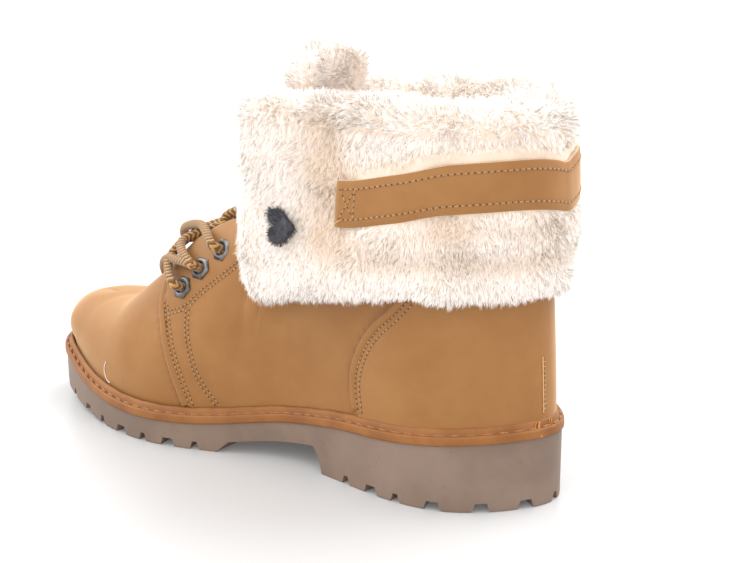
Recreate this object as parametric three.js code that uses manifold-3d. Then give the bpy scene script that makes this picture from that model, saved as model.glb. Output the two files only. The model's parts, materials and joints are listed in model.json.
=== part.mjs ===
// A right-foot lace-up ankle boot: lugged sole, stitched welt, nubuck upper with raised overlays,
// and a fur lining folded down over the ankle as a cuff. Millimetres, toe along +X, the wearer's
// left (the medial side of a right foot) along +Y, ground at z = 0.
import * as THREE from 'three';
import { mergeVertices } from 'three/addons/utils/BufferGeometryUtils.js';
import Module from 'manifold-3d';

const wasm = await Module();
wasm.setup();

// Driving dimensions of the sole
const soleLength = 285;
const ballWidth = 100;
const heelWidth = 79;
const heelHeight = 30.8;
const ballHeight = 11.9;
const toeHeight = 26.3;
const toeSpring = 10;
const soleEdgeStep = 0.8;
const soleEdgeRound = 1;
const lugDepth = 4;
const lugReach = 14;
const wideNotch = 5;
const narrowNotch = 2.2;
const notchTaper = 0.35;
const treadBar = 8;
const treadGap = 8.5;
const breastAt = 100;
const archHeight = 12;
const forefootAt = 155;
const heelRestAt = 43;

// Driving dimensions of the welt and the insole
const weltWidth = 5;
const weltBand = 4.2;
const weltBead = 2.8;
const insoleThickness = 4;
const insoleRound = 1;

// Driving dimensions of the upper
const wall = 2.4;
const overlayStep = 1;
const rearPanelStep = 0.9;
const toeBoxHeight = 53;
const collarHeight = 160;
const collarWidth = 76;
const throatLength = 73;
const throatTopWidth = 62;

// Driving dimensions of the tongue
const tongueThickness = 4.5;
const tongueWidth = 50;
const tongueSink = 9;
const tongueRise = 23;
const tongueCurve = 6;
const tongueClear = 1.6;

// Driving dimensions of the fur cuff and its strap
const cuffThickness = 17;
const cuffRise = 10;
const cuffDrop = 76;
const liningThickness = 6;
const liningDepth = 20;
const collarRoom = 1;
const lockLength = 6.5;
const lockWidth = 6;
const strapWidth = 20;
const strapThickness = 2.4;
const strapBed = 11;
const strapDrop = 33;
const strapMargin = 1.5;
const strapLift = 11;
const strapEnd = 0.303;
const heartSize = 15;
const heartThickness = 1.6;
const heartDrop = 13;

// Driving dimensions of the eyelets and the lace
const eyeletSize = 11.6;
const eyeletBore = 5.4;
const eyeletRim = 1.1;
const eyeletThickness = 1.3;
const laceThickness = 4.4;

// Clearance between pieces that meet, and how far a cut runs past what it cuts
const gap = 0.3;
const cutRoom = 10;

// How finely the curved forms are divided
const railCount = 24;
const rowCount = 8;

// Outline of the sole from heel (0) to toe (1). Both sides are shares of half the local width.
const planTable = [
  { at: 0, medial: 0, lateral: 0 },
  { at: 0.021, medial: 0.39, lateral: -0.38 },
  { at: 0.063, medial: 0.73, lateral: -0.7 },
  { at: 0.123, medial: 0.99, lateral: -0.93 },
  { at: 0.21, medial: 1.05, lateral: -0.97 },
  { at: 0.333, medial: 0.9, lateral: -0.97 },
  { at: 0.44, medial: 0.745, lateral: -0.925 },
  { at: 0.544, medial: 0.85, lateral: -0.93 },
  { at: 0.65, medial: 0.99, lateral: -1 },
  { at: 0.737, medial: 0.97, lateral: -1.03 },
  { at: 0.825, medial: 0.83, lateral: -0.96 },
  { at: 0.905, medial: 0.62, lateral: -0.78 },
  { at: 0.961, medial: 0.415, lateral: -0.54 },
  { at: 0.989, medial: 0.19, lateral: -0.31 },
  { at: 1, medial: -0.08, lateral: -0.08 },
];

// Height of the line where the welt meets the sole: shares of the heel's and the toe's rise
// above the ball, and of the toe spring for the ground side.
const levelTable = [
  { at: 0, heel: 1, toe: 0, spring: 0 },
  { at: 0.09, heel: 0.93, toe: 0, spring: 0 },
  { at: 0.207, heel: 0.78, toe: 0, spring: 0 },
  { at: 0.3, heel: 0.67, toe: 0, spring: 0 },
  { at: 0.35, heel: 0.56, toe: 0, spring: 0 },
  { at: 0.415, heel: 0.39, toe: 0, spring: 0 },
  { at: 0.52, heel: 0.14, toe: 0, spring: 0 },
  { at: 0.6, heel: 0.02, toe: 0, spring: 0 },
  { at: 0.7, heel: 0, toe: 0, spring: 0 },
  { at: 0.77, heel: 0, toe: 0.08, spring: 0.04 },
  { at: 0.83, heel: 0, toe: 0.23, spring: 0.16 },
  { at: 0.88, heel: 0, toe: 0.45, spring: 0.3 },
  { at: 0.94, heel: 0, toe: 0.75, spring: 0.52 },
  { at: 1, heel: 0, toe: 1, spring: 1 },
];

// Where each column of the upper ends at the top: along as a share of the sole's length, half as a
// share of half the collar's width (0 on the ridge), height as shares of the toe box and the collar.
// The bow is the exponent of the column's curve: 2 is straight, 1 an ellipse, less is boxier.
// The swell is how far the column stands out below its middle, as a share of the wall.
const topTable = [
  { at: 0, along: 0.052, half: 0, toe: 0, collar: 1, bow: 2, swell: 0.3 },
  { at: 0.05, along: 0.06, half: 0.34, toe: 0, collar: 1, bow: 2, swell: 0.3 },
  { at: 0.12, along: 0.094, half: 0.7, toe: 0, collar: 1, bow: 2, swell: 0.3 },
  { at: 0.2, along: 0.155, half: 0.92, toe: 0, collar: 1, bow: 2, swell: 0.3 },
  { at: 0.28, along: 0.236, half: 1, toe: 0, collar: 1, bow: 2, swell: 0 },
  { at: 0.35, along: 0.316, half: 1, toe: 0, collar: 1, bow: 1.9, swell: 0 },
  { at: 0.41, along: 0.393, half: 0.99, toe: 0, collar: 1, bow: 1.7, swell: 0.2 },
  { at: 0.46, along: 0.446, half: 0.9, toe: 0, collar: 1, bow: 1.4, swell: 0.3 },
  { at: 0.5, along: 0.478, half: 0.5, toe: 0, collar: 1, bow: 1.2, swell: 0.3 },
  { at: 0.52, along: 0.484, half: 0, toe: 0, collar: 1, bow: 1.15, swell: 0.3 },
  { at: 0.57, along: 0.508, half: 0, toe: 0, collar: 0.88, bow: 1.1, swell: 0.3 },
  { at: 0.62, along: 0.548, half: 0, toe: 0, collar: 0.755, bow: 1.18, swell: 0.3 },
  { at: 0.67, along: 0.594, half: 0, toe: 0, collar: 0.685, bow: 1.24, swell: 0.3 },
  { at: 0.72, along: 0.643, half: 0, toe: 0, collar: 0.61, bow: 1.22, swell: 0.3 },
  { at: 0.77, along: 0.7, half: 0, toe: 0.5, collar: 0.33, bow: 1, swell: 0.3 },
  { at: 0.83, along: 0.765, half: 0, toe: 0.98, collar: 0.06, bow: 0.8, swell: 0.3 },
  { at: 0.9, along: 0.825, half: 0, toe: 1.04, collar: 0, bow: 0.7, swell: 0.5 },
  { at: 0.96, along: 0.87, half: 0, toe: 1.02, collar: 0, bow: 0.64, swell: 0.9 },
  { at: 1, along: 0.89, half: 0, toe: 1, collar: 0, bow: 0.64, swell: 0.9 },
];

// Tread notches seen on the sole's edge, as shares of the length from heel to toe.
const notchTable = [
  { at: 0, width: narrowNotch },
  { at: 0.021, width: wideNotch },
  { at: 0.068, width: wideNotch },
  { at: 0.132, width: wideNotch },
  { at: 0.193, width: narrowNotch },
  { at: 0.24, width: wideNotch },
  { at: 0.293, width: narrowNotch },
  { at: 0.578, width: narrowNotch },
  { at: 0.626, width: wideNotch },
  { at: 0.677, width: narrowNotch },
  { at: 0.731, width: wideNotch },
  { at: 0.788, width: narrowNotch },
  { at: 0.842, width: wideNotch },
  { at: 0.906, width: narrowNotch },
  { at: 0.957, width: wideNotch },
];

// Side view of the arch: along from the heel's breast to the forefoot, up as a share of its height.
const archTable = [
  { along: -0.055, up: -1 },
  { along: -0.018, up: 0.167 },
  { along: 0.018, up: 0.667 },
  { along: 0.073, up: 1 },
  { along: 0.364, up: 0.81 },
  { along: 0.891, up: 0.46 },
  { along: 1, up: 0 },
  { along: 1.04, up: -1 },
];

const materialOf = (color, roughness, metalness = 0) =>
  new THREE.MeshStandardMaterial({ color, roughness, metalness });

const materials = {
  sole: materialOf('#9b8273', 0.8),
  welt: materialOf('#b47837', 0.6),
  nubuck: materialOf('#b88454', 0.85),
  footbed: materialOf('#e2d2b8', 0.95),
  fur: materialOf('#f0e6dc', 1),
  strap: materialOf('#b47d46', 0.7),
  heart: materialOf('#4b4b52', 0.9),
  metal: materialOf('#8e8b86', 0.4, 0.9),
  lace: materialOf('#8a6234', 0.9),
};

// Shares and angles: a share of the length as an angle round the outline makes both ends round.
const angleOf = share => Math.acos(1 - 2 * share);
const shareOf = angle => (1 - Math.cos(angle)) / 2;

function columnOf(table, name) {
  const knots = table.map(row => angleOf(row.at));
  const values = table.map(row => row[name]);
  const last = values.length - 1;
  const slopes = values.map((value, i) => {
    const before = Math.max(i - 1, 0);
    const after = Math.min(i + 1, last);
    return (values[after] - values[before]) / (knots[after] - knots[before]);
  });
  return share => {
    const angle = angleOf(THREE.MathUtils.clamp(share, 0, 1));
    let i = 0;
    while (i < last - 1 && angle > knots[i + 1]) i += 1;
    const span = knots[i + 1] - knots[i];
    const t = (angle - knots[i]) / span;
    const stay = 2 * t ** 3 - 3 * t ** 2 + 1;
    const leave = (t ** 3 - 2 * t ** 2 + t) * span;
    const arrive = (t ** 3 - t ** 2) * span;
    return values[i] * stay + values[i + 1] * (1 - stay) + slopes[i] * leave + slopes[i + 1] * arrive;
  };
}

const columnsOf = (table, names) => Object.fromEntries(names.map(name => [name, columnOf(table, name)]));

const plan = columnsOf(planTable, ['medial', 'lateral']);
const level = columnsOf(levelTable, ['heel', 'toe', 'spring']);
const top = columnsOf(topTable, ['along', 'half', 'toe', 'collar', 'bow', 'swell']);

// Half the local width goes from the heel's to the ball's between these shares of the length.
const heelEnds = 0.33;
const ballStarts = 0.6;

function halfWidth(share) {
  const t = THREE.MathUtils.smoothstep(share, heelEnds, ballStarts);
  return THREE.MathUtils.lerp(heelWidth, ballWidth, t) / 2;
}

const weltLine = share =>
  ballHeight + (heelHeight - ballHeight) * level.heel(share) + (toeHeight - ballHeight) * level.toe(share);

const groundLine = share => toeSpring * Math.max(0, level.spring(share));

// The outline at an angle from the heel: positive angles run up the medial side.
function outlineAt(angle) {
  const turn = THREE.MathUtils.euclideanModulo(angle + Math.PI, 2 * Math.PI) - Math.PI;
  const share = shareOf(turn);
  const side = turn >= 0 ? plan.medial(share) : plan.lateral(share);
  return new THREE.Vector2(share * soleLength, side * halfWidth(share));
}

const smallAngle = 0.02;

function outwardAt(angle) {
  const along = outlineAt(angle + smallAngle).sub(outlineAt(angle - smallAngle)).normalize();
  return new THREE.Vector2(-along.y, along.x);
}

function insetOutline(angle, inset) {
  return outlineAt(angle).addScaledVector(outwardAt(angle), -inset);
}

const angles = Array.from({ length: 2 * railCount }, (_, i) => -Math.PI + (i * Math.PI) / railCount);
const mirrorOf = i => (2 * railCount - i) % (2 * railCount);

// Solids

function solidOf(geometry) {
  const bare = geometry.clone();
  bare.deleteAttribute('normal');
  bare.deleteAttribute('uv');
  const merged = mergeVertices(bare, 1e-4);
  return new wasm.Manifold(new wasm.Mesh({
    numProp: 3,
    vertProperties: new Float32Array(merged.attributes.position.array),
    triVerts: new Uint32Array(merged.index.array),
  }));
}

function geometryOf(solid) {
  const mesh = solid.getMesh();
  const geometry = new THREE.BufferGeometry();
  geometry.setAttribute('position', new THREE.BufferAttribute(mesh.vertProperties, 3));
  geometry.setIndex(new THREE.BufferAttribute(mesh.triVerts, 1));
  geometry.computeVertexNormals();
  return geometry;
}

function geometryFrom(points, faces) {
  const geometry = new THREE.BufferGeometry();
  geometry.setAttribute('position', new THREE.Float32BufferAttribute(points.flatMap(p => [p.x, p.y, p.z]), 3));
  geometry.setIndex(faces.flat().flat());
  return geometry;
}

// Two triangles for a square of corners, without those that have shrunk to a line.
function square(a, b, c, d) {
  return [[a, b, c], [a, c, d]].filter(([p, q, r]) => p !== q && q !== r && r !== p);
}

// A solid of rings stacked upward, each ring running round the boot, closed by strips from side to
// side. Where "seam" names a ring, both sides share one point on it and on the rings above it.
function stackedSolid(rings, seam = () => Infinity) {
  const points = rings.flat();
  const size = rings[0].length;
  const indexOf = (j, i) => {
    const at = i % size;
    const lowest = seam(at);
    return j < lowest ? j * size + at : lowest * size + Math.max(at, mirrorOf(at));
  };
  const faces = [];
  for (let j = 0; j + 1 < rings.length; j += 1) {
    for (let i = 0; i < size; i += 1) {
      faces.push(square(indexOf(j, i), indexOf(j + 1, i), indexOf(j + 1, i + 1), indexOf(j, i + 1)));
    }
  }
  const last = rings.length - 1;
  for (let i = 0; i < size / 2; i += 1) {
    const [near, nextNear] = [i, i + 1];
    const [far, nextFar] = [mirrorOf(i), mirrorOf(i + 1)];
    faces.push(square(indexOf(0, near), indexOf(0, nextNear), indexOf(0, nextFar), indexOf(0, far)));
    faces.push(square(indexOf(last, near), indexOf(last, far), indexOf(last, nextFar), indexOf(last, nextNear)));
  }
  return solidOf(geometryFrom(points, faces));
}

// One section swept round the boot. An open sweep is closed by its end sections, whose faces come
// from the section drawn flat.
function sweptSolid(sections, flat = null) {
  const size = sections[0].length;
  const count = sections.length;
  const faces = [];
  for (let k = 0; k < (flat ? count - 1 : count); k += 1) {
    const next = (k + 1) % count;
    for (let i = 0; i < size; i += 1) {
      const beside = (i + 1) % size;
      faces.push(square(k * size + i, k * size + beside, next * size + beside, next * size + i));
    }
  }
  if (flat) {
    const cap = THREE.ShapeUtils.triangulateShape(flat, []);
    const facing = THREE.ShapeUtils.isClockWise(flat) ? cap.map(([a, b, c]) => [a, c, b]) : cap;
    const end = (count - 1) * size;
    faces.push(facing.map(([a, b, c]) => [a, c, b]));
    faces.push(facing.map(([a, b, c]) => [end + a, end + b, end + c]));
  }
  return solidOf(geometryFrom(sections.flat(), faces));
}

function extruded(points, depth) {
  const shape = new THREE.Shape(points.map(([x, y]) => new THREE.Vector2(x, y)));
  return new THREE.ExtrudeGeometry(shape, { depth, bevelEnabled: false });
}

// A prism whose side view (x, z) is given, running across the whole boot.
function sidePrism(points, from, to) {
  const geometry = extruded(points, to - from);
  geometry.rotateX(Math.PI / 2);
  geometry.translate(0, to, 0);
  return solidOf(geometry);
}

// A prism whose top view (x, y) is given, between two heights.
function planPrism(points, bottom, height) {
  const geometry = extruded(points, height);
  geometry.translate(0, 0, bottom);
  return solidOf(geometry);
}

// Outsole

function soleRing(inset, heightAt) {
  return angles.map(angle => {
    const { x, y } = insetOutline(angle, inset);
    return new THREE.Vector3(x, y, heightAt(shareOf(angle)));
  });
}

// A notch seen from the side of the sole is a trapezoid, wider at the ground.
function notch(angle, share, width) {
  const half = width / 2;
  const mouth = half + lugDepth * notchTaper;
  const below = toeSpring;
  const geometry = extruded([[-mouth, -below], [mouth, -below], [mouth, 0], [half, lugDepth], [-half, lugDepth],
    [-mouth, 0]], lugReach + soleEdgeRound + lugDepth);
  const outward = outwardAt(angle);
  const edge = insetOutline(angle, lugReach);
  geometry.rotateX(Math.PI / 2);
  geometry.rotateZ(Math.atan2(outward.y, outward.x) + Math.PI / 2);
  geometry.translate(edge.x, edge.y, groundLine(share));
  return solidOf(geometry);
}

function outsole() {
  const skirt = share => groundLine(share) + soleEdgeRound;
  const body = stackedSolid([
    soleRing(soleEdgeStep + soleEdgeRound, groundLine),
    soleRing(soleEdgeStep, skirt),
    soleRing(soleEdgeStep, weltLine),
  ]);
  const arch = sidePrism(archTable.map(({ along, up }) => [
    THREE.MathUtils.lerp(breastAt, forefootAt, along), up * archHeight]), -ballWidth, ballWidth);
  let solid = body.subtract(arch);
  for (const { at, width } of notchTable) {
    const angle = angleOf(at);
    const sides = at > 0 ? [angle, -angle] : [angle];
    for (const side of sides) solid = solid.subtract(notch(side, at, width));
  }
  return solid.subtract(treadRecess());
}

// The middle of the tread is let in, with bars left across it.
function treadRecess() {
  const inner = stackedSolid([
    soleRing(lugReach + soleEdgeStep, () => -toeSpring),
    soleRing(lugReach + soleEdgeStep, share => groundLine(share) + lugDepth),
  ]);
  const pitch = treadBar + treadGap;
  const margin = treadGap;
  const slots = [];
  const addSlots = (from, to) => {
    for (let x = from; x + treadGap <= to; x += pitch) {
      slots.push(sidePrism([[x, -toeSpring], [x + treadGap, -toeSpring], [x + treadGap, 2 * lugDepth],
        [x, 2 * lugDepth]], -ballWidth, ballWidth));
    }
  };
  addSlots(heelRestAt - treadBar / 2 - pitch - treadGap, breastAt - margin);
  addSlots(forefootAt + margin, soleLength - lugReach - margin);
  return inner.intersect(slots.reduce((all, slot) => all.add(slot)));
}

// Welt: a flat band with a rounded bead against the upper

const weltHeight = weltBand + weltBead;
const weltSection = [
  { inset: 0, rise: gap },
  { inset: 0, rise: weltBand - 0.5 },
  { inset: 0.1 * weltWidth, rise: weltBand },
  { inset: 0.34 * weltWidth, rise: weltBand },
  { inset: 0.4 * weltWidth, rise: weltBand + 0.5 * weltBead },
  { inset: 0.58 * weltWidth, rise: weltBand + 0.93 * weltBead },
  { inset: 0.78 * weltWidth, rise: weltBand + weltBead },
  { inset: 0.95 * weltWidth, rise: weltBand + 0.7 * weltBead },
  { inset: weltWidth, rise: weltBand },
  { inset: weltWidth, rise: gap },
];

function welt() {
  const sections = angles.map(angle => weltSection.map(({ inset, rise }) => {
    const { x, y } = insetOutline(angle, inset);
    return new THREE.Vector3(x, y, weltLine(shareOf(angle)) + rise);
  }));
  return sweptSolid(sections);
}

// The form of the last: columns from the foot line up to the ridge or the collar

const footInset = weltWidth + gap;
const ridgeStarts = 0.52;
const onRidge = angle => shareOf(angle) > ridgeStarts;
const featherLine = share => weltLine(share) + weltHeight;

function topAt(angle) {
  const share = shareOf(angle);
  const half = onRidge(angle) ? 0 : Math.max(0, top.half(share));
  return new THREE.Vector3(
    top.along(share) * soleLength,
    (Math.sign(angle) * half * collarWidth) / 2,
    top.toe(share) * toeBoxHeight + top.collar(share) * collarHeight,
  );
}

// Nothing at the foot and at the crest, and 1 a third of the way up.
const swellAt = rise => 6.75 * rise * (1 - rise) ** 2;

// A point of the form at an angle, a share "rise" of the way up its column from the welt.
function formPoint(angle, rise) {
  const share = shareOf(angle);
  const foot = insetOutline(angle, footInset);
  const footZ = featherLine(share);
  const crest = topAt(angle);
  const outward = outwardAt(angle);
  const bow = top.bow(share);
  const inward = 1 - Math.cos(Math.asin(Math.min(1, rise ** (1 / bow)))) ** bow;
  const reach = new THREE.Vector2(crest.x - foot.x, crest.y - foot.y);
  const across = reach.dot(outward);
  const swell = top.swell(share) * wall * swellAt(rise);
  const place = foot.clone()
    .addScaledVector(outward, across * inward + swell)
    .addScaledVector(reach.addScaledVector(outward, -across), rise);
  return new THREE.Vector3(place.x, place.y, footZ + (crest.z - footZ) * rise);
}

const wrapped = angle => THREE.MathUtils.euclideanModulo(angle + Math.PI, 2 * Math.PI) - Math.PI;
const smallRise = 0.01;

function formNormal(angle, rise) {
  const along = formPoint(wrapped(angle + smallAngle), rise).sub(formPoint(wrapped(angle - smallAngle), rise));
  const upper = formPoint(angle, Math.min(1, rise + smallRise));
  const up = upper.sub(formPoint(angle, Math.max(0, rise - smallRise)));
  return up.cross(along).normalize();
}

// The same place moved out (or in, when negative) by an offset from the form.
function skinPoint(angle, rise, offset) {
  const normal = formNormal(angle, rise);
  if (rise >= 1 && onRidge(angle)) normal.add(formNormal(-angle, rise)).normalize();
  return formPoint(angle, rise).addScaledVector(normal, offset);
}

// How far up each row lies, closer together near the ridge.
const rises = Array.from({ length: rowCount + 1 }, (_, j) => Math.sin((j / rowCount) * (Math.PI / 2)));

// The whole form at an offset. Its foot is carried straight down, or lifted when negative, and the
// collar's end is carried straight up.
function formSolid(offset, down, up = 0) {
  const rings = rises.map(rise => angles.map(angle => skinPoint(angle, rise, offset)));
  const lowered = rings[0].map(point => point.clone().setZ(point.z - down));
  if (down > 0) rings.unshift(lowered);
  else rings[0] = lowered;
  const crest = rings.length - 1;
  if (up > 0) rings.push(rings[crest].map(point => point.clone().setZ(point.z + up)));
  return stackedSolid(rings, i => (onRidge(angles[i]) ? crest : Infinity));
}

// Upper: one hollow wall, with the quarters and the rear panel raised on it

const legDrop = weltHeight - gap;

// Side views of two front edges, from the welt to the collar: along is a share of the sole's length,
// up a share of the collar's height.
const quarterEdge = [
  { along: 0.582, up: 0 },
  { along: 0.593, up: 0.138 },
  { along: 0.628, up: 0.262 },
  { along: 0.667, up: 0.356 },
  { along: 0.695, up: 0.419 },
  { along: 0.709, up: 0.475 },
  { along: 0.709, up: 1.125 },
];
const rearEdge = [
  { along: 0.256, up: 0 },
  { along: 0.263, up: 0.225 },
  { along: 0.267, up: 0.319 },
  { along: 0.242, up: 0.425 },
  { along: 0.2, up: 0.525 },
  { along: 0.133, up: 0.675 },
  { along: 0.049, up: 0.812 },
  { along: 0.049, up: 1.125 },
];

function behind(edge) {
  const side = edge.map(({ along, up }) => [along * soleLength, up * collarHeight]);
  const back = -cutRoom;
  return sidePrism([...side, [back, side[side.length - 1][1]], [back, 0]], -ballWidth, ballWidth);
}

// The throat from its front (0) to the collar's front (1): half is a share of half its top width.
const throatTable = [
  { along: 0, half: 0.14 },
  { along: 0.03, half: 0.3 },
  { along: 0.08, half: 0.42 },
  { along: 0.16, half: 0.46 },
  { along: 0.34, half: 0.47 },
  { along: 0.66, half: 0.52 },
  { along: 0.85, half: 0.71 },
  { along: 1, half: 0.95 },
  { along: 1.2, half: 1 },
];
const collarFront = top.along(0.5) * soleLength;
const throatFront = collarFront + throatLength;
const throatAlong = share => THREE.MathUtils.lerp(throatFront, collarFront, share);

// Side view of what lies over the throat's floor, so that the cut stays off the sides of the foot.
const throatFloor = [
  { along: -0.07, up: 0.22 },
  { along: 0.74, up: 0.375 },
  { along: 1.05, up: 0.656 },
  { along: 1.5, up: 0.875 },
  { along: 1.5, up: 1.125 },
  { along: -0.07, up: 1.125 },
];

function throat() {
  const near = throatTable.map(({ along, half }) => [throatAlong(along), (half * throatTopWidth) / 2]);
  const far = near.map(([x, y]) => [x, -y]).reverse();
  const floor = throatFloor.map(({ along, up }) => [throatAlong(along), up * collarHeight]);
  return planPrism([...near, ...far], 0, 2 * collarHeight).intersect(sidePrism(floor, -ballWidth, ballWidth));
}

function upper() {
  const quarters = formSolid(overlayStep, -2 * gap).intersect(behind(quarterEdge));
  const rear = formSolid(overlayStep + rearPanelStep, -2 * gap).intersect(behind(rearEdge));
  const cavity = formSolid(-wall, 2 * weltHeight, cutRoom);
  let solid = formSolid(0, legDrop).add(quarters).add(rear).subtract(cavity).subtract(throat());
  for (const place of eyeletPlaces) solid = solid.subtract(eyeletBody(place, gap));
  return solid;
}

// Eyelets: a six-sided rim with a round barrel through the leather

const eyeletTable = [
  { at: 0.676, half: 1.107 },
  { at: 0.655, half: 1 },
  { at: 0.625, half: 0.92 },
];
const eyeletSpread = 56;

const eyeletPlaces = [1, -1].flatMap(side => eyeletTable.map(({ at, half }, i) => {
  const y = (side * half * eyeletSpread) / 2;
  const name = `eyelet_${side > 0 ? 'medial' : 'lateral'}_${i + 1}`;
  const seat = underPoint(at, y, -overlayStep);
  const axis = seat.clone().sub(underPoint(at, y, 0)).normalize();
  return { name, seat, axis };
}));

function along(axis, seat, from, to, radius, sides) {
  const geometry = new THREE.CylinderGeometry(radius, radius, to - from, sides);
  geometry.translate(0, (from + to) / 2, 0);
  geometry.applyQuaternion(new THREE.Quaternion().setFromUnitVectors(new THREE.Vector3(0, 1, 0), axis));
  geometry.translate(seat.x, seat.y, seat.z);
  return solidOf(geometry);
}

// The eyelet's outer shape, grown by a clearance for the seat that it takes in the leather.
function eyeletBody({ seat, axis }, grow) {
  const rim = along(axis, seat, -grow, eyeletThickness + 4 * grow, eyeletSize / 2 + grow, 6);
  const depth = overlayStep + wall + gap;
  return rim.add(along(axis, seat, -depth - 4 * grow, eyeletThickness / 2, eyeletBore / 2 + eyeletRim + grow, 8));
}

function eyelet(place) {
  return eyeletBody(place, 0).subtract(along(place.axis, place.seat, -cutRoom, cutRoom, eyeletBore / 2, 8));
}

// Insole

function insole() {
  const inset = footInset + wall + gap;
  const bottom = share => weltLine(share) + gap;
  const ring = (extra, rise) => soleRing(inset + extra, share => bottom(share) + rise);
  return stackedSolid([ring(0, 0), ring(0, insoleThickness - insoleRound), ring(insoleRound, insoleThickness)]);
}

// Tongue: a curved pad under the throat, with a full fur top that stands above the collar

// The place on the inside of a column that lies a distance y from the middle of the boot.
function underPoint(share, y, offset) {
  const angle = (y < 0 ? -1 : 1) * angleOf(share);
  const foot = insetOutline(angle, footInset);
  const bow = top.bow(share);
  const part = Math.min(1, Math.abs(y / foot.y));
  const rise = Math.sin(Math.acos(part ** (1 / bow))) ** bow;
  return skinPoint(angle, rise, -offset);
}

// Rows from the throat's front up to the collar: half is a share of half the tongue's width, and sink
// a share of how far its middle lies below the ridge.
const tongueTable = [
  { at: 0.825, half: 0.3, sink: 0 },
  { at: 0.81, half: 0.55, sink: 0.1 },
  { at: 0.77, half: 0.8, sink: 0.45 },
  { at: 0.7, half: 1, sink: 1 },
  { at: 0.65, half: 1, sink: 1 },
  { at: 0.61, half: 1, sink: 0.8 },
  { at: 0.575, half: 0.92, sink: 0.5 },
  { at: 0.545, half: 0.8, sink: 0.3 },
];

// The free end of the tongue: x of its front, height and half width as shares, and its thickness.
const tongueTopTable = [
  { front: 0.462, height: 0.86, half: 0.76, thick: 2 },
  { front: 0.456, height: 0.93, half: 0.8, thick: 2.6 },
  { front: 0.452, height: 0.965, half: 0.78, thick: 2.6 },
  { front: 0.446, height: 0.988, half: 0.6, thick: 1.9 },
  { front: 0.438, height: 1, half: 0.3, thick: 0.8 },
];

const spread = [-1, -0.75, -0.4, 0, 0.4, 0.75, 1];

function tongue() {
  const clear = wall + tongueClear;
  const sections = tongueTable.map(({ at, half, sink }) => {
    const arcAt = depth => spread.map(side =>
      underPoint(at, (side * half * tongueWidth) / 2, depth + sink * tongueSink * (1 - side ** 2)));
    const outer = arcAt(clear);
    const inner = arcAt(clear + tongueThickness);
    return [...outer, ...inner.reverse()];
  });
  for (const { front, height, half, thick } of tongueTopTable) {
    const arc = offset => spread.map(side => new THREE.Vector3(
      front * soleLength - offset - tongueCurve * side ** 2,
      (side * half * tongueWidth) / 2,
      height * (collarHeight + tongueRise),
    ));
    sections.push([...arc(0), ...arc(thick * tongueThickness).reverse()]);
  }
  const outline = offset => spread.map(side => new THREE.Vector2(side, offset - side ** 2 / 2));
  return sweptSolid(sections, [...outline(0), ...outline(-1).reverse()]);
}

// Fur cuff: the lining folded over the collar and down the outside, in the columns of the shaft

// Rows along the shaft from the back to the front: hem and crown are lifts as shares of the collar's
// height, puff and roll are the thickness in the middle and at the hem as shares of the cuff's.
const cuffTable = [
  { at: 0, hem: 0.03, crown: -0.012, puff: 0.86, roll: 0.6 },
  { at: 0.1, hem: 0.035, crown: -0.006, puff: 0.88, roll: 0.72 },
  { at: 0.2, hem: 0.03, crown: 0, puff: 0.96, roll: 0.9 },
  { at: 0.3, hem: 0.005, crown: 0, puff: 1, roll: 0.98 },
  { at: 0.36, hem: -0.015, crown: -0.008, puff: 0.86, roll: 0.98 },
  { at: 0.4, hem: -0.035, crown: -0.012, puff: 0.9, roll: 1 },
  { at: 0.43, hem: -0.045, crown: -0.018, puff: 1.04, roll: 1.08 },
  { at: 0.443, hem: -0.045, crown: -0.02, puff: 1.02, roll: 1.06 },
  { at: 0.455, hem: -0.02, crown: -0.035, puff: 0.7, roll: 0.7 },
];
const cuff = columnsOf(cuffTable, ['hem', 'crown', 'puff', 'roll']);
const cuffEnd = 0.455;

// How high the strap's middle runs: a share of its lift from the sewn end to the back.
const strapTable = [
  { at: 0, lift: 0.72 },
  { at: 0.05, lift: 1 },
  { at: 0.15, lift: 0.88 },
  { at: 0.22, lift: 0.42 },
  { at: 0.3, lift: 0 },
  { at: 0.5, lift: 0 },
];
const strapLine = columnsOf(strapTable, ['lift']);
const cuffHem = collarHeight - cuffDrop;
const cuffCrown = collarHeight + cuffRise;
const strapHeight = collarHeight - strapDrop;
const strapZ = share => strapHeight + strapLift * strapLine.lift(share);

// A place beside the shaft, an offset out from it at a height. Above the collar it goes straight up.
function shaftPoint(angle, offset, z) {
  const share = shareOf(angle);
  const foot = featherLine(share);
  const rise = (Math.min(z, collarHeight) - foot) / (collarHeight - foot);
  const normal = formNormal(angle, rise).setZ(0).normalize();
  const point = formPoint(angle, rise).addScaledVector(normal, offset);
  return point.setZ(z);
}

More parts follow.
